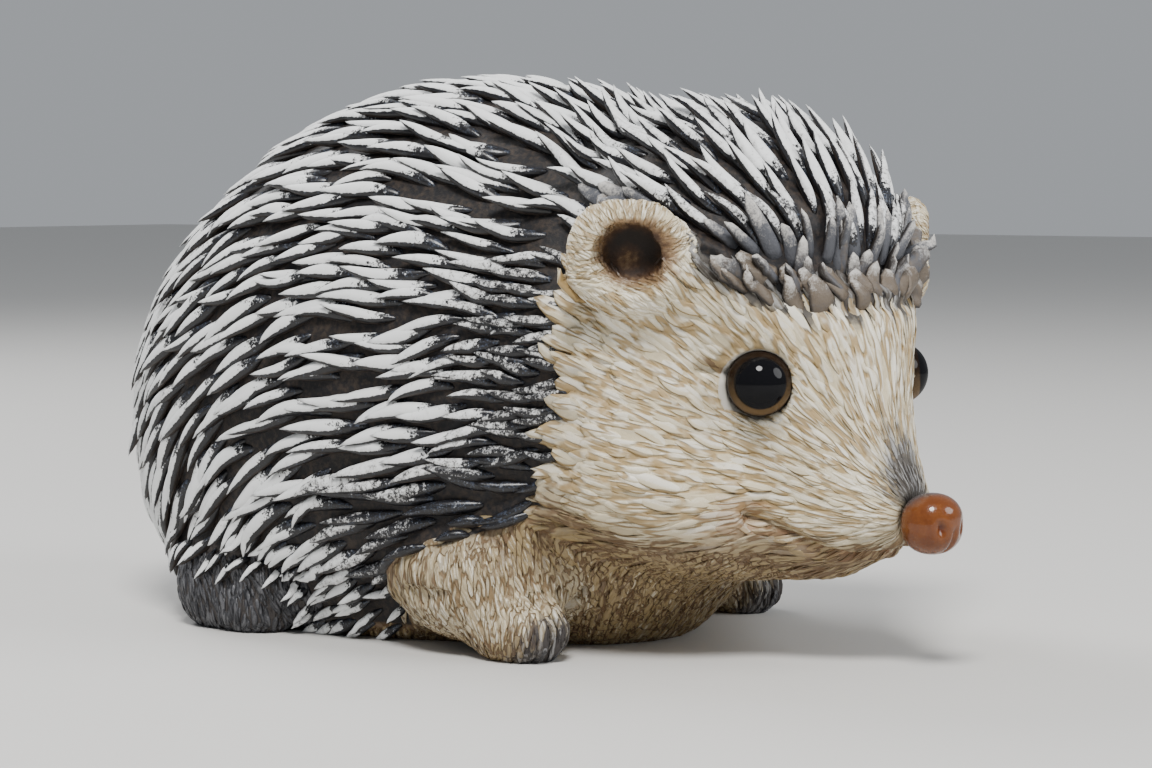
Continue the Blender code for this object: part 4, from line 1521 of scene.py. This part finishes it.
# %% Skin paint
mix = Paint("base_coat")
mantle, cup, grey, lid = (mix.mark(k) for k in ("mantle", "cup", "grey", "lid"))
wash, rust = mix.mark("wash"), mix.mark("rust")
blotch = mix.grain(5.0 * MM, 2.0)
rag = mix.grain(0.9 * MM, 3.0)
speck = mix.grain(0.25 * MM, 2.0, rough=0.7)
groove, swell = mix.grooves()
low_cream = mix.coat(mix.ramp(mix.sum(swell, (rag, 0.3)), -0.25, 0.0, 0.78, 1), OCHRE, CREAM)
low_cream = mix.coat(mix.ramp(mix.sum(swell, (speck, 0.4)), 0.02, 0.25, 0, 0.7), low_cream, PALE_CREAM)
# Deep brown on the skin where wash and painted shade lie.
colour = mix.coat(mix.ramp(mix.sum(wash, (blotch, 0.2)), 0.2, 1.0, 0, 0.9), low_cream, DEEP_BROWN)
colour = mix.coat(mix.times(groove, 0.85), colour, mix.coat(mix.ramp(wash, 0.1, 0.8), OCHRE, DEEP_BROWN))
# Grey on the skin, which below the hairline is also painted shade under the fringe.
greyed = mix.times(mix.ramp(mix.sum(grey, (rag, 0.5)), 0.2, 0.8, 0, 0.95), mix.ramp(grey, 0, 0.1))
colour = mix.coat(greyed, colour, SKIN_GREY_AND_SHADE)
colour = mix.coat(mix.times(rust, 0.85), colour, RUST)
colour = mix.coat(mix.ramp(mix.sum(lid, (rag, 0.3)), 0.3, 0.7), colour, LID_GREY)
colour = cup_colour(mix, cup, rag, swell, colour)
recess = mix.coat(mix.ramp(mix.sum(rag, (blotch, 0.5)), -0.15, 0.25), BLACK, DUST)
mantled = mix.ramp(mix.sum(mantle, (rag, 0.3)), 0.35, 0.6)
colour = mix.coat(mantled, colour, recess)
smooth_parts = mix.sum(mantle, lid, (cup, 0.7))
carved = mix.times(mix.sum((groove, -1.0), (swell, 1.2)), mix.ramp(smooth_parts, 0, 0.5, 1, 0))
skin_height = mix.sum(carved, (rag, 0.35), (speck, 0.2))
skin_paint = mix.finish(colour, mix.sum(0.58, (speck, 0.2)), skin_height, 0.28 * MM,
                        {"Specular IOR Level": 0.3})

# %% [markdown]
# ## Glass and lacquer
# A set eye is clear glass over a painted back: black pupil, brown iris that is lighter low down, and
# a dark rim. The nose is terracotta paint under a thick clear lacquer, greyer on top where dust
# settles.

# %% Eye paint
GLASS = {"Coat Weight": 0.28, "Coat Roughness": 0.01, "Specular IOR Level": 0.0}
mix = Paint("set_glass_eye")
off_gaze, height = mix.mark("off_gaze"), mix.mark("height")
fibre = mix.grain(0.5 * MM, 2.0)
# The iris is painted lighter low down: painted light from above that the glass bends onto its lower edge.
iris = mix.coat(mix.ramp(mix.sum(height, (fibre, 0.3)), 0.3, -0.75), IRIS_SHADE, IRIS_BROWN)
colour = mix.coat(mix.ramp(off_gaze, 0.54, 0.60), PUPIL, iris)
colour = mix.coat(mix.ramp(off_gaze, 0.72, 0.86), colour, EYE_RIM)
eye_paint = mix.finish(colour, 0.1, fibre, 0.001 * MM, GLASS)

# %% Nose paint
LACQUER = {"Coat Weight": 0.6, "Coat Roughness": 0.03, "Specular IOR Level": 0.15}
mix = Paint("nose_lacquer")
nostril, top = mix.mark("nostril"), mix.mark("top")
mottle = mix.grain(1.6 * MM, 3.0)
pit = mix.grain(0.35 * MM, 2.0)
colour = mix.coat(mix.ramp(mix.sum(mottle, (pit, 0.3)), -0.25, 0.25), TERRACOTTA, LIGHT_TERRACOTTA)
colour = mix.coat(mix.ramp(mix.sum(top, (mottle, 0.6)), 0.55, 1.15), colour, NOSE_TOP)
colour = mix.coat(mix.ramp(nostril, 0.25, 0.85, 0, 0.8), colour, NOSTRIL_RED)
nose_paint = mix.finish(colour, mix.sum(0.24, (pit, 0.2)), mix.sum(pit, (mottle, 0.8)), 0.05 * MM, LACQUER)

# %% Lay the paint on
def painted(obj, material):
    obj.data.materials.clear()
    obj.data.materials.append(material)


skin_mesh.polygons.foreach_set("use_smooth", np.ones(len(skin_mesh.polygons), bool))
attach(skin, "root")
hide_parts(*BODY_NODES, *EAR_NODES)
painted(skin, skin_paint)
for piece in coat_pieces:
    is_fur = "fur" in piece.name or "ruff" in piece.name
    painted(piece, fur_paint if is_fur else fringe_paint if piece.name == "fringe" else quill_paint)
for eye in eyes:
    painted(eye, eye_paint)
painted(nose, nose_paint)
print("painted pieces:", 2 + len(eyes) + len(coat_pieces))

# %% [markdown]
# ## The floor, the light and the camera
# A pale floor and soft light from above show the form without drama. The camera stands low, to the
# animal's right and in front, with a long lens.

# %% Floor
FLOOR_HALF = 3.0
bm = bmesh.new()
bmesh.ops.create_grid(bm, x_segments=1, y_segments=1, size=FLOOR_HALF)
floor = object_from("floor", mesh_of(bm, "floor"))
floor_finish = bpy.data.materials.new("pale_floor")
floor_finish.use_nodes = True
floor_shader = floor_finish.node_tree.nodes["Principled BSDF"]
floor_shader.inputs["Base Color"].default_value = (0.62, 0.61, 0.59, 1)
floor_shader.inputs["Roughness"].default_value = 0.7
floor.data.materials.append(floor_finish)
print("floor (m):", tuple(floor.dimensions))

# %% Light
def soft_light(name, at, toward, size, power, colour=(1, 1, 1)):
    lamp = bpy.data.lights.new(name, "AREA")
    lamp.shape = "DISK"
    lamp.size = size
    lamp.energy = power
    lamp.color = colour
    obj = object_from(name, lamp)
    obj.location = at
    obj.rotation_euler = (Vector(toward) - Vector(at)).to_track_quat("-Z", "Y").to_euler()


soft_light("window", (-0.45, -0.30, 0.80), (0, 0, 0.04), 0.30, 11.0, (1.0, 0.985, 0.96))
soft_light("room", (0.25, -0.80, 0.50), (0, -0.02, 0.04), 0.5, 5.0, (0.97, 0.985, 1.0))
soft_light("rim", (0.15, 0.65, 0.65), (0, 0.02, 0.05), 0.5, 5.0)
world = bpy.data.worlds.new("room_air")
world.use_nodes = True
air = world.node_tree.nodes["Background"]
air.inputs["Color"].default_value = (0.86, 0.9, 0.95, 1)
air.inputs["Strength"].default_value = 0.42
bpy.context.scene.world = world
print("lights:", [lamp.name for lamp in bpy.data.lights])

# %% Camera
CAMERA_AT = Vector((-0.3848, -0.2868, 0.0753))
CAMERA_TURN = radians(36.0)
CAMERA_DIP = radians(4.134)
CAMERA_LENS = 89.06
camera = object_from("camera", bpy.data.cameras.new("camera"))
camera.data.sensor_width = 36
camera.data.lens = CAMERA_LENS
camera.data.clip_start = 0.01
camera.location = CAMERA_AT
look = Vector((cos(CAMERA_TURN) * cos(CAMERA_DIP), sin(CAMERA_TURN) * cos(CAMERA_DIP), -sin(CAMERA_DIP)))
camera.rotation_euler = look.to_track_quat("-Z", "Y").to_euler()
bpy.context.scene.camera = camera
print("camera height (mm): %.0f, looking down %.1f degrees" % (CAMERA_AT.z / MM, np.degrees(CAMERA_DIP)))
